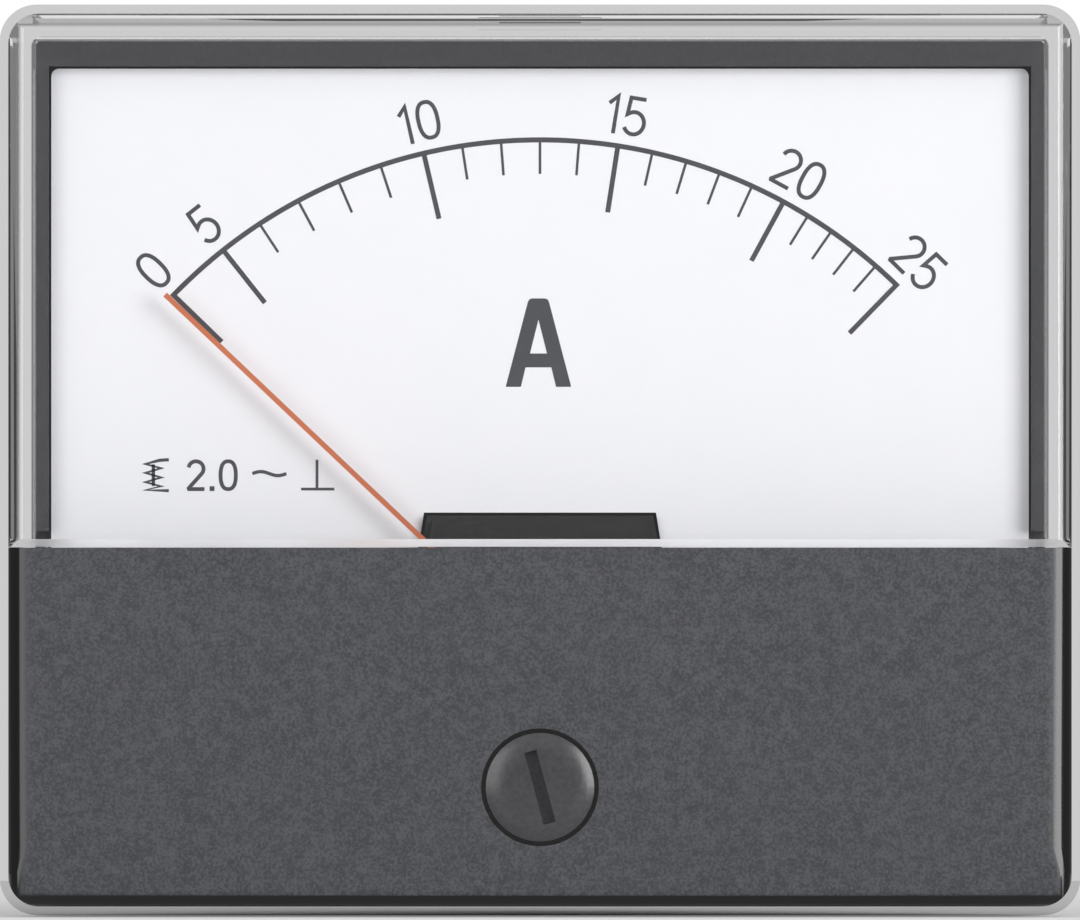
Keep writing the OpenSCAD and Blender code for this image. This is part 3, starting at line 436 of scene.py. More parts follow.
@dataclass(frozen=True)
class WorkedMetal:
    """A metal with the marks of how it was made: turned, rolled or plated."""

    name: str
    colour: str
    tarnish: str
    roughness: float
    grooves: Grooves
    spacing_mm: float = 0.12
    depth_mm: float = 0.004

    # Tarnish: size in millimetres, the noise values between which it shows, and its most.
    stain_mm: float = 1.8
    stained: Range = (0.4, 0.75)
    stain_share: float = 0.7
    # How far the roughness varies over the marks.
    spread: float = 0.16
    mark_strength: float = 0.5

    def make(self) -> Material:
        """Builds the material.

        Returns:
            The metal, with tool marks in roughness and bump and a slow drift in colour.
        """
        material, tree = new_material(self.name)
        along = object_coords(tree, GROOVE_STRETCH[self.grooves])
        marks = noise(tree, along, self.spacing_mm, 2.0, 0.65)
        stain = noise(tree, object_coords(tree), self.stain_mm, 4.0, 0.6)
        drift = map_range(tree, stain, self.stained, (0.0, self.stain_share))
        tint = mix(tree, "RGBA", drift, linear(self.colour), linear(self.tarnish))
        rough = compute(
            tree, "MULTIPLY_ADD", marks, self.spread, self.roughness - self.spread / 2)
        normal = bump(tree, self.mark_strength, self.depth_mm, marks)
        close_principled(tree, {
            "Base Color": tint, "Metallic": 1.0, "Roughness": rough, "Normal": normal})
        return material


@dataclass(frozen=True)
class EnamelledWire:
    """Copper wire under clear polyurethane enamel: a wet gloss over warm metal."""

    name: str = "copper_wire_enamelled"
    colour: str = "#B8692F"
    dark: str = "#8A4318"
    roughness: float = 0.3
    coat_roughness: float = 0.08

    # The enamel runs thick and thin over this many millimetres, by this depth.
    run_mm: float = 1.1
    run_depth_mm: float = 0.004
    run_strength: float = 0.4

    def make(self) -> Material:
        """Builds the material.

        Returns:
            The wire's material: rough copper under a smooth coat.
        """
        material, tree = new_material(self.name)
        runs = noise(tree, object_coords(tree), self.run_mm, 3.0, 0.6)
        tint = mix(tree, "RGBA", runs, linear(self.colour), linear(self.dark))
        normal = bump(tree, self.run_strength, self.run_depth_mm, runs)
        close_principled(tree, {
            "Base Color": tint, "Metallic": 1.0, "Roughness": self.roughness,
            "Coat Weight": 1.0, "Coat Roughness": self.coat_roughness, "Normal": normal})
        return material


# Polystyrene of the cover, polished mould: clear, with bright edges.
CLEAR_COVER = ClearMoulding()
# ABS of the mask, spark-eroded mould: dark grey with a fine even speckle of painted glints, and
# glossy edges painted black as painted shade.
MASK_ABS = MouldedPlastic(
    "abs_black_spark_eroded", "#323337", "#494A4F", 0.5, MouldFace.SPARK_ERODED, 0.17, 0.009,
    edge="#101012")
# ABS of the adjuster, polished mould: the mask's grey without its speckle, and glossier.
ADJUSTER_ABS = MouldedPlastic(
    "abs_black_smooth", "#3D3C3F", "#434245", 0.24, MouldFace.POLISHED, 0.3, 0.003)
# ABS of the housing, satin mould: black with a soft sheen.
HOUSING_ABS = MouldedPlastic(
    "abs_black_satin", "#29292C", "#343437", 0.42, MouldFace.SATIN, 0.12, 0.003)
# Glass-filled nylon of the movement: black, its lighter speckle both the fibres' mottle and painted
# glints.
MOVEMENT_NYLON = MouldedPlastic(
    "nylon_glass_filled_black", "#141415", "#1D1D1E", 0.5, MouldFace.SATIN, 0.25, 0.004,
    specular=0.3)
# Natural nylon of the bobbin: milky cream.
BOBBIN_NYLON = MouldedPlastic(
    "nylon_natural", "#C9BD9C", "#D6CBAE", 0.45, MouldFace.SATIN, 0.3, 0.003, 1.53)
# Dial: white stoving lacquer on aluminium, matt.
DIAL_WHITE = LacquerCoat("lacquer_white_matt", "#F6F6F7", "#F2F3F5", 0.6, 0.45, 0.003)
# Scale: screen-printed ink, charcoal, semi-matt, standing a hair above the lacquer.
SCALE_INK = LacquerCoat("ink_charcoal_screen_printed", "#38393D", "#424347", 0.5, 0.2, 0.002)
# Pointer: orange-red lacquer on aluminium, a thin bright line over the dial.
POINTER_RED = LacquerCoat("lacquer_orange_red", "#CE7148", "#C4683F", 0.4, 0.3, 0.002)
# Brass bar turned on an automatic lathe: yellow, with fine rings.
TURNED_BRASS = WorkedMetal("brass_turned", "#D9B36A", "#B98F49", 0.28, Grooves.TURNED)
# Brass sheet, stamped: fine rolling lines.
SHEET_BRASS = WorkedMetal("brass_sheet_rolled", "#D6B26C", "#BC9550", 0.3, Grooves.ROLLED)
# Brass sheet, chemically blackened: brown-black with a dull gleam.
BLACK_BRASS = WorkedMetal("brass_sheet_blackened", "#2E2B28", "#3A342D", 0.45, Grooves.ROLLED)
# Phosphor bronze strip of the hairspring.
BRONZE_STRIP = WorkedMetal(
    "phosphor_bronze_rolled", "#C58F57", "#A87340", 0.25, Grooves.ROLLED, 0.06, 0.001)
# Steel, bright zinc plated: cool grey with a faint yellow bloom.
ZINC_STEEL = WorkedMetal(
    "steel_zinc_plated", "#C3C6C9", "#B4B2A6", 0.32, Grooves.PLATED, 0.18, 0.003)
# Steel of the spindle, centreless ground.
GROUND_STEEL = WorkedMetal(
    "steel_ground", "#B9BCC0", "#A9ACB0", 0.2, Grooves.TURNED, 0.05, 0.001)
# Soft iron of the vanes, annealed: dull dark grey.
SOFT_IRON = WorkedMetal("iron_annealed", "#77787A", "#5E5C59", 0.48, Grooves.ROLLED, 0.1, 0.003)
# Aluminium foil of the damping vane.
ALUMINIUM = WorkedMetal(
    "aluminium_rolled", "#D3D5D7", "#BFC1C4", 0.3, Grooves.ROLLED, 0.08, 0.002)
# Copper wire of the coil.
COPPER_WIRE = EnamelledWire()


class FinishShelf:
    """Makes each finish's material once and hands it out."""

    def __init__(self) -> None:
        """Starts with no material made."""
        self.made: dict[str, Material] = {}

    def get(self, finish: Any) -> Material:
        """Returns a finish's material, made at its first use.

        Args:
            finish: A finish, with a name and a make method.

        Returns:
            Its material.
        """
        if finish.name not in self.made:
            self.made[finish.name] = finish.make()
        return self.made[finish.name]

    def dress_nodes(self, finish: Any, *nodes: str) -> None:
        """Gives CAD nodes a finish.

        Args:
            finish: The finish.
            nodes: Names of the nodes.
        """
        for name in nodes:
            dress(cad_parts[name], self.get(finish))
            log.info("%s: %s", name, finish.name)


# ---- stage


@dataclass
class Studio:
    """Camera, floor, lamps and surroundings."""

    distance: float = 2.7
    view_width: float = 70.0 * MM
    floor_z: float = -29.5 * MM
    floor_half: float = 0.22
    floor_glow: float = 0.22
    fill_front: float = 0.7
    fill_back: float = 0.3
    room_low: float = 0.22
    room_high: float = 0.8
    backdrop_seen_through: float = 0.66
    box_distance: float = 0.8
    box_size: float = 0.45
    right_watts: float = 4.1
    left_watts: float = 1.62

    # Y of a direction where the backdrop starts, 14 degrees off, and is whole, 4 degrees off.
    backdrop: Range = (0.97, 0.997)
    # Z of a direction where the room turns paler and where it is palest.
    ceiling: Range = (0.1, 0.6)
    # Y of a direction between which the front fill turns into the back one.
    front_to_back: Range = (-0.8, 0.2)
    right_way: Point3 = (1.0, -1.1, 0.26)
    left_way: Point3 = (-0.7, -1.0, 0.2)

    def build_camera(self) -> None:
        """Sets the scene's camera straight in front of the dial."""
        data = bpy.data.cameras.new("camera")
        data.sensor_fit = "HORIZONTAL"
        data.sensor_width = 36.0
        data.lens = data.sensor_width * self.distance / self.view_width
        data.clip_start, data.clip_end = 0.01, 50
        camera = new_object("camera", data)
        back = Vector((0, -1, 0))
        camera.location = back * self.distance
        camera.rotation_mode = "QUATERNION"
        camera.rotation_quaternion = (-back).to_track_quat("-Z", "Y")
        bpy.context.scene.camera = camera

    @staticmethod
    def _seen_rays(tree: Tree) -> Socket:
        """1 for camera, glossy and transmission rays, 0 for the others."""
        path = add_node(tree, "ShaderNodeLightPath").outputs
        two = compute(tree, "MAXIMUM", path["Is Camera Ray"], path["Is Glossy Ray"])
        return compute(tree, "MAXIMUM", two, path["Is Transmission Ray"])

    def build_floor(self) -> None:
        """Lays a pale floor that keeps the object's soft shadow."""
        material, tree = new_material("floor_pale")
        paint = add_node(tree, "ShaderNodeBsdfDiffuse", inputs={"Color": linear("#EDEDED")})
        # Light from the backdrop, which a matt floor at this grazing view throws back.
        path = add_node(tree, "ShaderNodeLightPath").outputs
        seen = compute(tree, "MULTIPLY", path["Is Camera Ray"], self.floor_glow)
        glow = add_node(tree, "ShaderNodeEmission", inputs={"Color": WHITE, "Strength": seen})
        both = add_node(
            tree, "ShaderNodeAddShader", inputs={0: paint.outputs[0], 1: glow.outputs[0]})
        close_material(tree, both.outputs[0])
        half, z = self.floor_half, self.floor_z
        corners = [(-half, -half, z), (half, -half, z), (half, half, z), (-half, half, z)]
        floor = mesh_object("floor", corners, [(0, 1, 2, 3)])
        dress(floor, material)

    def build_world(self) -> None:
        """A white backdrop in a grey room, pale overhead, with a fill mostly from the front."""
        world = bpy.data.worlds.new("surroundings")
        bpy.context.scene.world = world
        world.use_nodes = True
        tree = world.node_tree
        tree.nodes.clear()
        way = components(tree, "Generated")
        backdrop = map_range(tree, way["Y"], self.backdrop, smooth=True)
        room = map_range(
            tree, way["Z"], self.ceiling, (self.room_low, self.room_high), smooth=True)
        mirrored = mix(tree, "FLOAT", backdrop, room, self.backdrop_seen_through)
        # The camera itself sees plain white.
        path = add_node(tree, "ShaderNodeLightPath").outputs
        behind = compute(tree, "MAXIMUM", mirrored, path["Is Camera Ray"])
        fill = map_range(
            tree, way["Y"], self.front_to_back, (self.fill_front, self.fill_back))
        level = mix(tree, "FLOAT", self._seen_rays(tree), fill, behind)
        back = add_node(
            tree, "ShaderNodeBackground", inputs={"Color": WHITE, "Strength": level})
        add_node(tree, "ShaderNodeOutputWorld", inputs={"Surface": back.outputs[0]})

    def add_lamp(self, name: str, direction: Sequence[float], watts: float) -> None:
        """Hangs a square soft box in a direction from the object, facing it."""
        data = bpy.data.lights.new(name, "AREA")
        data.shape, data.size, data.energy = "SQUARE", self.box_size, watts
        lamp = new_object(name, data)
        way = Vector(direction).normalized()
        lamp.location = way * self.box_distance
        lamp.rotation_mode = "QUATERNION"
        lamp.rotation_quaternion = way.to_track_quat("Z", "Y")
        # Its light already passes the clear cover's shadow, and would count twice.
        lamp.visible_transmission = False

    def build(self) -> None:
        """Builds the camera, floor, surroundings and lamps."""
        self.build_camera()
        self.build_floor()
        self.build_world()
        self.add_lamp("soft_box_right", self.right_way, self.right_watts)
        self.add_lamp("soft_box_left", self.left_way, self.left_watts)
        bpy.context.scene.view_settings.view_transform = "Standard"
        log.info("studio: camera, floor, surroundings, two soft boxes")


# ---- flat print

# Limits a mitre's reach at a sharp corner.
LEAST_MITRE = 0.45
# Each digit's width at a height of 2.6 mm, in millimetres.
DIGIT_WIDTHS = {"1": 0.52, "0": 1.25, "2": 1.24, "5": 1.24, ".": 0.0}
WIDTHS_AT = 2.6


def ribbon(points: Sequence[Point2], width: float, closed: bool = False) -> list[Outline]:
    """Outlines of a stroke of even width along a line, with mitred corners.

    Args:
        points: The middle of the stroke.
        width: Its width.
        closed: True for a loop.

    Returns:
        One outline, or two for a loop: outer and inner.
    """
    n = len(points)
    left: Outline = []
    right: Outline = []
    for i in range(n):
        before = points[(i - 1) % n] if closed or i > 0 else points[i]
        after = points[(i + 1) % n] if closed or i < n - 1 else points[i]
        a = Vector((points[i][0] - before[0], points[i][1] - before[1]))
        b = Vector((after[0] - points[i][0], after[1] - points[i][1]))
        a = a.normalized() if a.length > 0 else b.normalized()
        b = b.normalized() if b.length > 0 else a
        mid = (a + b).normalized()
        normal = Vector((-mid.y, mid.x))
        spread = width / 2 / max(normal.dot(Vector((-a.y, a.x))), LEAST_MITRE)
        here = Vector(points[i])
        left.append(tuple(here + normal * spread))
        right.append(tuple(here - normal * spread))
    if closed:
        return [left, right]
    return [left + right[::-1]]


def arc_points(centre: Point2, radii: Point2, start: float, end: float, steps: int) -> Outline:
    """Points on an ellipse, with angles in degrees counterclockwise from +x."""
    angles = [math.radians(start + (end - start) * i / steps) for i in range(steps + 1)]
    return [(centre[0] + radii[0] * math.cos(a), centre[1] + radii[1] * math.sin(a))
            for a in angles]


def turned(outline: Outline, angle: float, at: Point2) -> Outline:
    """Turns an outline clockwise by an angle in degrees and moves it."""
    c, s = math.cos(math.radians(angle)), math.sin(math.radians(angle))
    return [(at[0] + x * c + y * s, at[1] - x * s + y * c) for x, y in outline]


@dataclass
class Numerals:
    """Condensed sans-serif digits drawn with one even stroke, sizes in millimetres."""

    height: float = 2.6
    stroke: float = 0.26
    gap: float = 0.27
    after_one: float = 0.14

    # The 0 is an oval with fuller shoulders than an ellipse, whose power would be 1.
    zero_power: float = 0.82
    zero_steps: int = 40
    # Half a side of the point, in strokes.
    dot: float = 0.62

    def width_of(self, digit: str) -> float:
        """Width of a digit, between the middles of its outer strokes."""
        return DIGIT_WIDTHS[digit] * self.height / WIDTHS_AT

    def outlines(self, digit: str) -> list[Outline]:
        """Outlines of one digit.

        Args:
            digit: One of 0, 1, 2, 5 and the point.

        Returns:
            Its outlines, with the lower left corner of its middle line at the origin.
        """
        w, h = self.width_of(digit), self.height - self.stroke
        if digit == "0":
            loop = []
            for i in range(self.zero_steps):
                t = 2 * math.pi * i / self.zero_steps
                c, s = math.cos(t), math.sin(t)
                loop.append((w / 2 + w / 2 * math.copysign(abs(c) ** self.zero_power, c),
                             h / 2 + h / 2 * math.copysign(abs(s) ** self.zero_power, s)))
            return ribbon(loop, self.stroke, True)
        if digit == "1":
            return ribbon([(0, h * 0.76), (w, h * 0.99), (w, -self.stroke / 2)], self.stroke)
        if digit == "2":
            bowl = arc_points((w / 2, h - w / 2), (w / 2, w / 2), 170, -35, 14)
            return ribbon(bowl + [(0.02, 0.06), (0.04, 0.0), (w + 0.06, 0.0)], self.stroke)
        if digit == "5":
            r = w * 0.53
            bowl = arc_points((w - r - 0.02, h * 0.31), (r, h * 0.31), 118, -152, 18)
            return ribbon([(w * 0.92, h), (0.16, h), (0.07, h * 0.53)] + bowl, self.stroke)
        dot = self.stroke * self.dot
        low, high = -self.stroke / 2, 2 * dot - self.stroke / 2
        return [[(-dot, low), (dot, low), (dot, high), (-dot, high)]]

    def line(self, text: str, angle: float = 0.0, at: Point2 = (0.0, 0.0)) -> list[Outline]:
        """Outlines of a row of digits, centred on a point.

        Args:
            text: The digits.
            angle: Clockwise turn in degrees.
            at: The row's centre.

        Returns:
            The outlines.
        """
        pitch = [
            self.width_of(c) + self.stroke + self.gap + (self.after_one if c == "1" else 0.0)
            for c in text
        ]
        x = -(sum(pitch) - self.gap) / 2 + self.stroke / 2
        y = -(self.height - self.stroke) / 2
        out: list[Outline] = []
        for c, step in zip(text, pitch):
            for o in self.outlines(c):
                out.append(turned([(px + x, py + y) for px, py in o], angle, at))
            x += step
        return out


@dataclass
class DialPrint:
    """The scale and signs, printed in charcoal ink on the dial. Sizes in millimetres."""

    shelf: FinishShelf
    centre_z: float = -12.3
    arc_r: float = 33.0
    arc_w: float = 0.33
    major_r: float = 28.65
    major_w: float = 0.32
    minor_r: float = 30.8
    minor_w: float = 0.17
    numeral_r: float = 35.05
    film: float = 0.012
    lift: float = 0.002
    marks: tuple[tuple[int, float], ...] = (
        (0, -45.9), (5, -38.37), (10, -13.17), (15, 8.78), (20, 28.5), (25, 44.3))
    numeral_angles: tuple[float, ...] = (-45.5, -38.2, -12.9, 9.2, 28.6, 44.35)

    arc_steps: int = 120
    # Short marks divide each step of the scale into this many.
    divisions: int = 5
    # How far the marks reach into the arc, past its inner edge.
    overlap: float = 0.005

    def __post_init__(self) -> None:
        """Takes the dial's front plane from the CAD."""
        self.dial_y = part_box("dial_plate")[0].y

    def print_piece(self, name: str, outlines: list[Outline]) -> None:
        """Fills outlines with a thin film of ink on the dial, which rides on the housing.

        Args:
            name: The piece's name.
            outlines: Closed outlines in x and z; one inside another is a hole.
        """
        curve = bpy.data.curves.new(name, "CURVE")
        curve.dimensions, curve.fill_mode = "2D", "BOTH"
        curve.extrude = self.film / 2
        for outline in outlines:
            spline = curve.splines.new("POLY")
            spline.points.add(len(outline) - 1)
            for point, (x, y) in zip(spline.points, outline):
                point.co = (x, y, 0, 1)
            spline.use_cyclic_u = True
        holder = new_object(name + "_outline", curve)
        flat = holder.evaluated_get(bpy.context.evaluated_depsgraph_get())
        mesh = bpy.data.meshes.new_from_object(flat)
        bpy.data.objects.remove(holder)
        mesh.name = name
        for v in mesh.vertices:
            above = v.co.z + self.film / 2 + self.lift
            v.co = Vector((v.co.x * MM, self.dial_y - above * MM, v.co.y * MM))
        obj = new_object(name, mesh)
        mesh.materials.clear()
        dress(obj, self.shelf.get(SCALE_INK))
        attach(obj, "housing")
        log.info("%s: %d faces", name, len(mesh.polygons))

    def polar(self, r: float, angle: float) -> Point2:
        """The point at a radius and an angle clockwise from up, about the scale's centre."""
        a = math.radians(angle)
        return r * math.sin(a), self.centre_z + r * math.cos(a)

    def bar(self, r0: float, r1: float, angle: float, width: float) -> Outline:
        """A radial bar between two radii."""
        (x0, z0), (x1, z1) = self.polar(r0, angle), self.polar(r1, angle)
        return ribbon([(x0, z0), (x1, z1)], width)[0]

    def build_scale(self) -> None:
        """Prints the arc, the long and short marks and the numerals."""
        first, last = self.marks[0][1], self.marks[-1][1]
        margin = math.degrees(self.major_w / 2 / self.arc_r)
        start, sweep, n = first - margin, last - first + 2 * margin, self.arc_steps
        line = [self.polar(self.arc_r, start + sweep * i / n) for i in range(n + 1)]
        self.print_piece("scale_arc", ribbon(line, self.arc_w))
        inner = self.arc_r - self.arc_w / 2 + self.overlap
        long = [self.bar(self.major_r, inner, a, self.major_w) for _, a in self.marks]
        self.print_piece("scale_marks_long", long)
        # The first step, from 0 to 5, has no short marks.
        small = []
        for (_, a0), (_, a1) in zip(self.marks[1:], self.marks[2:]):
            for k in range(1, self.divisions):
                angle = a0 + (a1 - a0) * k / self.divisions
                small.append(self.bar(self.minor_r, inner, angle, self.minor_w))
        self.print_piece("scale_marks_short", small)
        digits = Numerals()
        for (value, _), angle in zip(self.marks, self.numeral_angles):
            at = self.polar(self.numeral_r, angle)
            self.print_piece(f"numeral_{value}", digits.line(str(value), angle, at))

    def build_unit(self) -> None:
        """Prints the bold letter of the unit, ampere."""
        x, z = -0.1, 4.73
        outer = [(-2.12, 0), (-0.68, 5.5), (-0.58, 5.66), (-0.42, 5.72), (0.42, 5.72),
                 (0.58, 5.66), (0.68, 5.5), (2.12, 0), (1.14, 0), (0.83, 1.26), (-0.83, 1.26),
                 (-1.14, 0)]
        hole = [(-0.55, 2.16), (0.55, 2.16), (0.0, 4.35)]
        self.print_piece("unit_letter", [[(px + x, pz + z) for px, pz in o] for o in (outer, hole)])

    def build_signs(self) -> None:
        """Prints the row of generic signs: moving iron, class 2.0, alternating, upright use."""
        row, coil_x, class_x, wave_x = -0.98, -24.85, -21.2, -17.5
        zigzag = [(0.85, 1.0), (0.25, 0.96), (-0.66, 0.72), (0.36, 0.45), (-0.66, 0.15),
                  (0.36, -0.15), (-0.66, -0.45), (0.36, -0.72), (-0.66, -0.96), (0.85, -1.0)]
        length, height, n = 2.2, 0.13, 24
        wave = [(-length / 2 + length * i / n, height * math.sin(2 * math.pi * i / n))
                for i in range(n + 1)]

        def stroke(line: Outline, width: float, at: Point2) -> list[Outline]:
            """Outlines of a stroke about a point."""
            return [turned(o, 0, at) for o in ribbon(line, width)]

        for name, outlines in {
            "moving_iron_coil": stroke(zigzag, 0.21, (coil_x, row)),
            "moving_iron_core": stroke([(-0.15, -0.7), (-0.15, 0.7)], 0.22, (coil_x, row)),
            "class": Numerals(2.05, 0.25, 0.3).line("2.0", 0, (class_x, row)),
            "alternating": stroke(wave, 0.22, (wave_x, row + 0.1)),
            "upright_base": ribbon([(-15.45, -1.88), (-13.3, -1.88)], 0.18),
            "upright_stem": ribbon([(-14.42, -1.8), (-14.42, 0.02)], 0.18),
        }.items():
            self.print_piece("sign_" + name, outlines)

    def build(self) -> None:
        """Prints everything and dresses the dial."""
        self.build_scale()
        self.build_unit()
        self.build_signs()
        self.shelf.dress_nodes(DIAL_WHITE, "dial_plate")


# ---- threads


@dataclass(frozen=True)
class Thread:
    """A metric thread along +Y, sizes in metres."""

    crest_r: float
    pitch: float
    y0: float
    y1: float
    chamfer: float
    segments: int
    groove_pitches: float = 0.61

    def rows(self) -> list[Range]:
        """Share of a pitch and radius where the crest and the root start and end."""
        root_r = self.crest_r - self.groove_pitches * self.pitch
        return [(0.0, self.crest_r), (0.125, self.crest_r), (0.44, root_r), (0.69, root_r)]

    def grid(self, x: float, z: float) -> Shape:
        """Points and faces of the thread about an axis at (x, z), open at both ends.

        Args:
            x: The axis's x.
            z: The axis's z.

        Returns:
            The points and the faces.
        """
        count = math.ceil((self.y1 - self.y0) / self.pitch) + 2
        lines = [((k + f) * self.pitch + self.y0 - self.pitch, r)
                 for k in range(count) for f, r in self.rows()]
        points: list[Vector] = []
        faces: list[tuple[int, ...]] = []
        n = self.segments
        for y, r in lines:
            for j in range(n + 1):
                here = y + self.pitch * j / n
                clamped = min(max(here, self.y0), self.y1)
                radius = min(r, self.crest_r - self.chamfer + (self.y1 - clamped))
                a = 2 * math.pi * j / n
                points.append(Vector((x + radius * math.cos(a), clamped, z + radius * math.sin(a))))
        for i in range(len(lines) - 1):
            for j in range(n):
                a, b = i * (n + 1) + j, (i + 1) * (n + 1) + j
                faces.append((a, a + 1, b + 1, b))
        return points, faces


def lathe(profile: Sequence[Range], x: float, z: float, segments: int) -> Shape:
    """Turns a profile of (y, radius) about an axis along Y.

    Args:
        profile: The profile's points, in metres; a radius of 0 closes an end.
        x: The axis's x.
        z: The axis's z.
        segments: Sides round the axis.

    Returns:
        The points and the faces.
    """
    turns = [2 * math.pi * j / segments for j in range(segments)]
    points = [Vector((x + r * math.cos(a), y, z + r * math.sin(a)))
              for y, r in profile for a in turns]
    faces = []
    for i in range(len(profile) - 1):
        near, far = i * segments, (i + 1) * segments
        for j in range(segments):
            k = (j + 1) % segments
            faces.append((near + j, near + k, far + k, far + j))
    return points, faces


def merge(parts: Sequence[Shape]) -> Shape:
    """Joins several sets of points and faces into one."""
    points: list[Vector] = []
    faces: list[tuple[int, ...]] = []
    for p, f in parts:
        base = len(points)
        points += p
        faces += [tuple(base + i for i in face) for face in f]
    return points, faces


# ---- sub-assemblies

# Edges that turn by more than this many degrees stay sharp on a reshaped piece.
SHARP_DEG = 30
# Points of a CAD mesh nearer than this, in metres, are one.
SEAM = 1e-7
# A face whose normal's Y is below this looks straight ahead.
STRAIGHT_AHEAD = -0.9999
# Points within this many metres of a limit count as inside it.
NEARLY = 1e-5


def reshape(
    node: str, name: str, cuts: Sequence[tuple[Point3, Point3]],
    move: Callable[[Vector], Vector], keep_flat: bool,
) -> Object:
    """Copies a CAD node's mesh, cuts it along planes and moves its points.

    Args:
        node: The CAD node.
        name: The new piece's name.
        cuts: A point and a normal of each cutting plane.
        move: Gives a point's new place.
        keep_flat: True where faces that look straight ahead stay sharply bounded.

    Returns:
        The new piece, riding on nothing yet and not dressed.
    """
    sharp = math.radians(SHARP_DEG)
    bm = bmesh.new()
    bm.from_mesh(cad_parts[node].data)
    bmesh.ops.remove_doubles(bm, verts=bm.verts, dist=SEAM)
    for point, normal in cuts:
        whole = bm.verts[:] + bm.edges[:] + bm.faces[:]
        bmesh.ops.bisect_plane(bm, geom=whole, plane_co=point, plane_no=normal)
    for v in bm.verts:
        v.co = move(v.co.copy())
    bm.normal_update()
    for face in bm.faces:
        face.smooth = True
    for edge in bm.edges:
        faces = edge.link_faces
        bounded = keep_flat and any(face.normal.y < STRAIGHT_AHEAD for face in faces)
        edge.smooth = len(faces) == 2 and edge.calc_face_angle(0.0) < sharp and not bounded
    mesh = bpy.data.meshes.new(name)
    bm.to_mesh(mesh)
    bm.free()
    if "custom_normal" in mesh.attributes:
        mesh.attributes.remove(mesh.attributes["custom_normal"])
    mesh.materials.clear()
    log.info("%s: %d faces", name, len(mesh.polygons))
    return new_object(name, mesh)


@dataclass
class Front:
    """Clear cover, lower mask and zero adjuster."""

    shelf: FinishShelf
    edge_r: float = 1.1 * MM
    side_edge: float = 1.75 * MM
    corner: float = 2.2 * MM
    blend: float = 1.6 * MM
    head_r: float = 3.5 * MM
    face_r: float = 3.0 * MM
    dome: float = 0.35 * MM
    dome_power: int = 4
    head_cuts: int = 15

    def build_mask(self) -> None:
        """Makes the mask, its side edges rounded wider than deep, in place of its CAD node."""
        low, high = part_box("lower_mask")
        # The rounding widens between two cuts, so the lower corners stay as they are.
        start = low.z + self.corner
        cuts = [((0, 0, start), (0, 0, 1)), ((0, 0, start + self.blend), (0, 0, 1))]

        def widen(p: Vector) -> Vector:
            """Moves points of the front rounding inward above the corners."""
            inset = high.x - abs(p.x)
            above = p.z > start + self.blend / 2
            if above and p.y < low.y + self.edge_r and inset < self.edge_r + NEARLY:
                p.x = math.copysign(high.x - inset * self.side_edge / self.edge_r, p.x)
            return p

        mask = reshape("lower_mask", "lower_mask_wide_edges", cuts, widen, True)
        dress(mask, self.shelf.get(MASK_ABS))
        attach(mask, "housing")
        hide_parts("lower_mask")

    def build_adjuster(self) -> None:
        """Makes the adjuster with a domed head, in place of its CAD node."""
        low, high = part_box("zero_screw")
        centre_z = (low.z + high.z) / 2
        n = self.head_cuts
        steps = [self.head_r * (2 * (k + 1) / (n + 1) - 1) for k in range(n)]
        cuts = [((t, 0, 0), (1, 0, 0)) for t in steps]
        cuts += [((0, 0, centre_z + t), (0, 0, 1)) for t in steps]

        def round_off(p: Vector) -> Vector:
            """Lays points of the head's front face and bevel on the dome."""
            r = math.hypot(p.x, p.z - centre_z)
            bevel = self.dome * max(0.0, r - self.face_r) / (self.head_r - self.face_r)
            if p.y < low.y + bevel + NEARLY:
                domed = low.y + self.dome * min(r / self.head_r, 1.0) ** self.dome_power
                p.y = domed if r >= self.face_r else max(p.y, domed)
            return p

        adjuster = reshape("zero_screw", "zero_screw_domed", cuts, round_off, False)
        dress(adjuster, self.shelf.get(ADJUSTER_ABS))
        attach(adjuster, "zero_screw")
        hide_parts("zero_screw")

    def build(self) -> None:
        """Dresses the cover, and makes the mask and the adjuster."""
        self.shelf.dress_nodes(CLEAR_COVER, "front_cover")
        self.build_mask()
        self.build_adjuster()


@dataclass
class Housing:
    """Flange, dial frame and barrel, and the four mounting studs with their threads."""

    shelf: FinishShelf
    pitch: float = 0.5 * MM
    stud_r: float = 1.5 * MM
    neck_r: float = 1.85 * MM
    head_r: float = 2.8 * MM
    neck_y: float = -2.4 * MM
    core_share: float = 0.6
    point: float = 0.4 * MM
    segments: int = 36

    def build_studs(self) -> None:
        """Makes the M3 studs in place of their plain CAD node."""
        low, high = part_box("mounting_studs")
        xs = (low.x + self.head_r, high.x - self.head_r)
        zs = (low.z + self.head_r, high.z - self.head_r)
        n = self.segments
        body = [(low.y, 0.0), (low.y, self.head_r), (self.neck_y, self.head_r),
                (self.neck_y, self.neck_r), (0.0, self.neck_r),
                (0.0, self.stud_r * self.core_share)]
        tip = [(high.y, 0.0), (high.y, self.stud_r - self.point)]
        thread = Thread(self.stud_r, self.pitch, 0.0, high.y, self.point, n)
        parts = []
        for x in xs:
            for z in zs:
                parts += [thread.grid(x, z), lathe(body, x, z, n), lathe(tip, x, z, n)]
        studs = mesh_object("mounting_studs_threaded", *merge(parts))
        dress(studs, self.shelf.get(ZINC_STEEL))
        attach(studs, "housing")
        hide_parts("mounting_studs")
        log.info("mounting studs: %d faces", len(studs.data.polygons))

    def build(self) -> None:
        """Dresses the mouldings and makes the studs."""
        self.shelf.dress_nodes(HOUSING_ABS, "base_housing", "rear_barrel")
        self.build_studs()


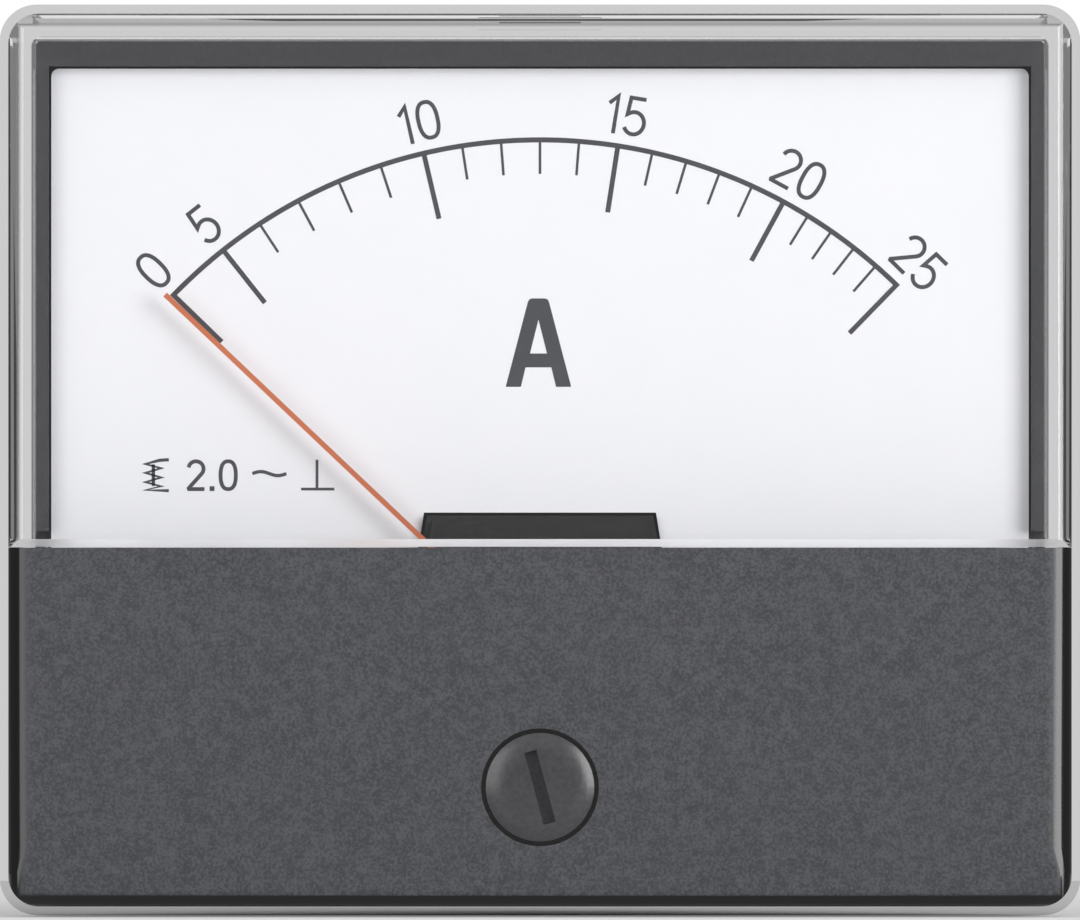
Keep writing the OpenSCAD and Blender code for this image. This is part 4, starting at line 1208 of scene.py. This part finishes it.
@dataclass
class Terminals:
    """Two brass M5 terminals with washers and nuts."""

    shelf: FinishShelf
    pitch: float = 0.8 * MM
    tail_r: float = 2.5 * MM
    head_r: float = 4.4 * MM
    head_t: float = 2.2 * MM
    cup_r: float = 0.83 * MM
    cup_depth: float = 1.4 * MM
    core_share: float = 0.7
    point: float = 0.5 * MM
    segments: int = 56

    def build_stud(self, side: str) -> None:
        """Makes one threaded terminal stud in place of its plain CAD node.

        Args:
            side: "left" or "right".
        """
        node = "terminal_stud_" + side
        low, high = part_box(node)
        x, z = (low.x + high.x) / 2, (low.z + high.z) / 2
        seat = low.y + self.head_t
        n, cup_y = self.segments, low.y + self.cup_depth
        thread = Thread(self.tail_r, self.pitch, seat, high.y, self.point, n)
        head = lathe([(cup_y, 0.0), (cup_y, self.cup_r), (low.y, self.cup_r), (low.y, self.head_r),
                      (seat, self.head_r), (seat, self.tail_r * self.core_share)], x, z, n)
        end = lathe([(high.y, 0.0), (high.y, self.tail_r - self.point)], x, z, n)
        stud = mesh_object(node + "_threaded", *merge([thread.grid(x, z), head, end]))
        dress(stud, self.shelf.get(TURNED_BRASS))
        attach(stud, "housing")
        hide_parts(node)
        log.info("%s: %d faces", node, len(stud.data.polygons))

    def build(self) -> None:
        """Makes both studs and dresses nuts and washers."""
        self.build_stud("left")
        self.build_stud("right")
        self.shelf.dress_nodes(TURNED_BRASS, "terminal_nuts")
        self.shelf.dress_nodes(ZINC_STEEL, "terminal_washers", "spring_washers")


@dataclass
class Movement:
    """Pieces of the moving-iron movement that don't swing with the pointer."""

    shelf: FinishShelf

    def build(self) -> None:
        """Dresses the pieces."""
        give = self.shelf.dress_nodes
        give(MOVEMENT_NYLON, "movement_frame", "damping_lid", "rear_bridge")
        give(BOBBIN_NYLON, "coil_bobbin")
        give(COPPER_WIRE, "coil_winding")
        give(SHEET_BRASS, "front_bridge")
        give(BLACK_BRASS, "zero_lever")
        give(TURNED_BRASS, "front_jewel_screw", "jewel_lock_nut", "rear_jewel_screw")
        give(BRONZE_STRIP, "hairspring")
        give(SOFT_IRON, "fixed_vane")
        give(ZINC_STEEL, "dial_screws", "lid_screws", "movement_screws", "bridge_screws",
             "tie_screws")


@dataclass
class MovingSystem:
    """Spindle, pointer, weights and vanes, which swing together."""

    shelf: FinishShelf

    def build(self) -> None:
        """Dresses the pieces."""
        give = self.shelf.dress_nodes
        give(POINTER_RED, "pointer")
        give(GROUND_STEEL, "spindle")
        give(TURNED_BRASS, "balance_weights", "hairspring_collet")
        give(ALUMINIUM, "damping_vane")
        give(SOFT_IRON, "moving_vane")


def main() -> None:
    """Builds the studio, then each sub-assembly in order, and reports them."""
    logging.basicConfig(level=logging.INFO, format="%(name)s: %(message)s")
    Studio().build()
    shelf = FinishShelf()
    for kind in (Front, Housing, DialPrint, Movement, MovingSystem, Terminals):
        kind(shelf).build()
        log.info("%s done", kind.__name__)


if __name__ == "__main__":
    main()
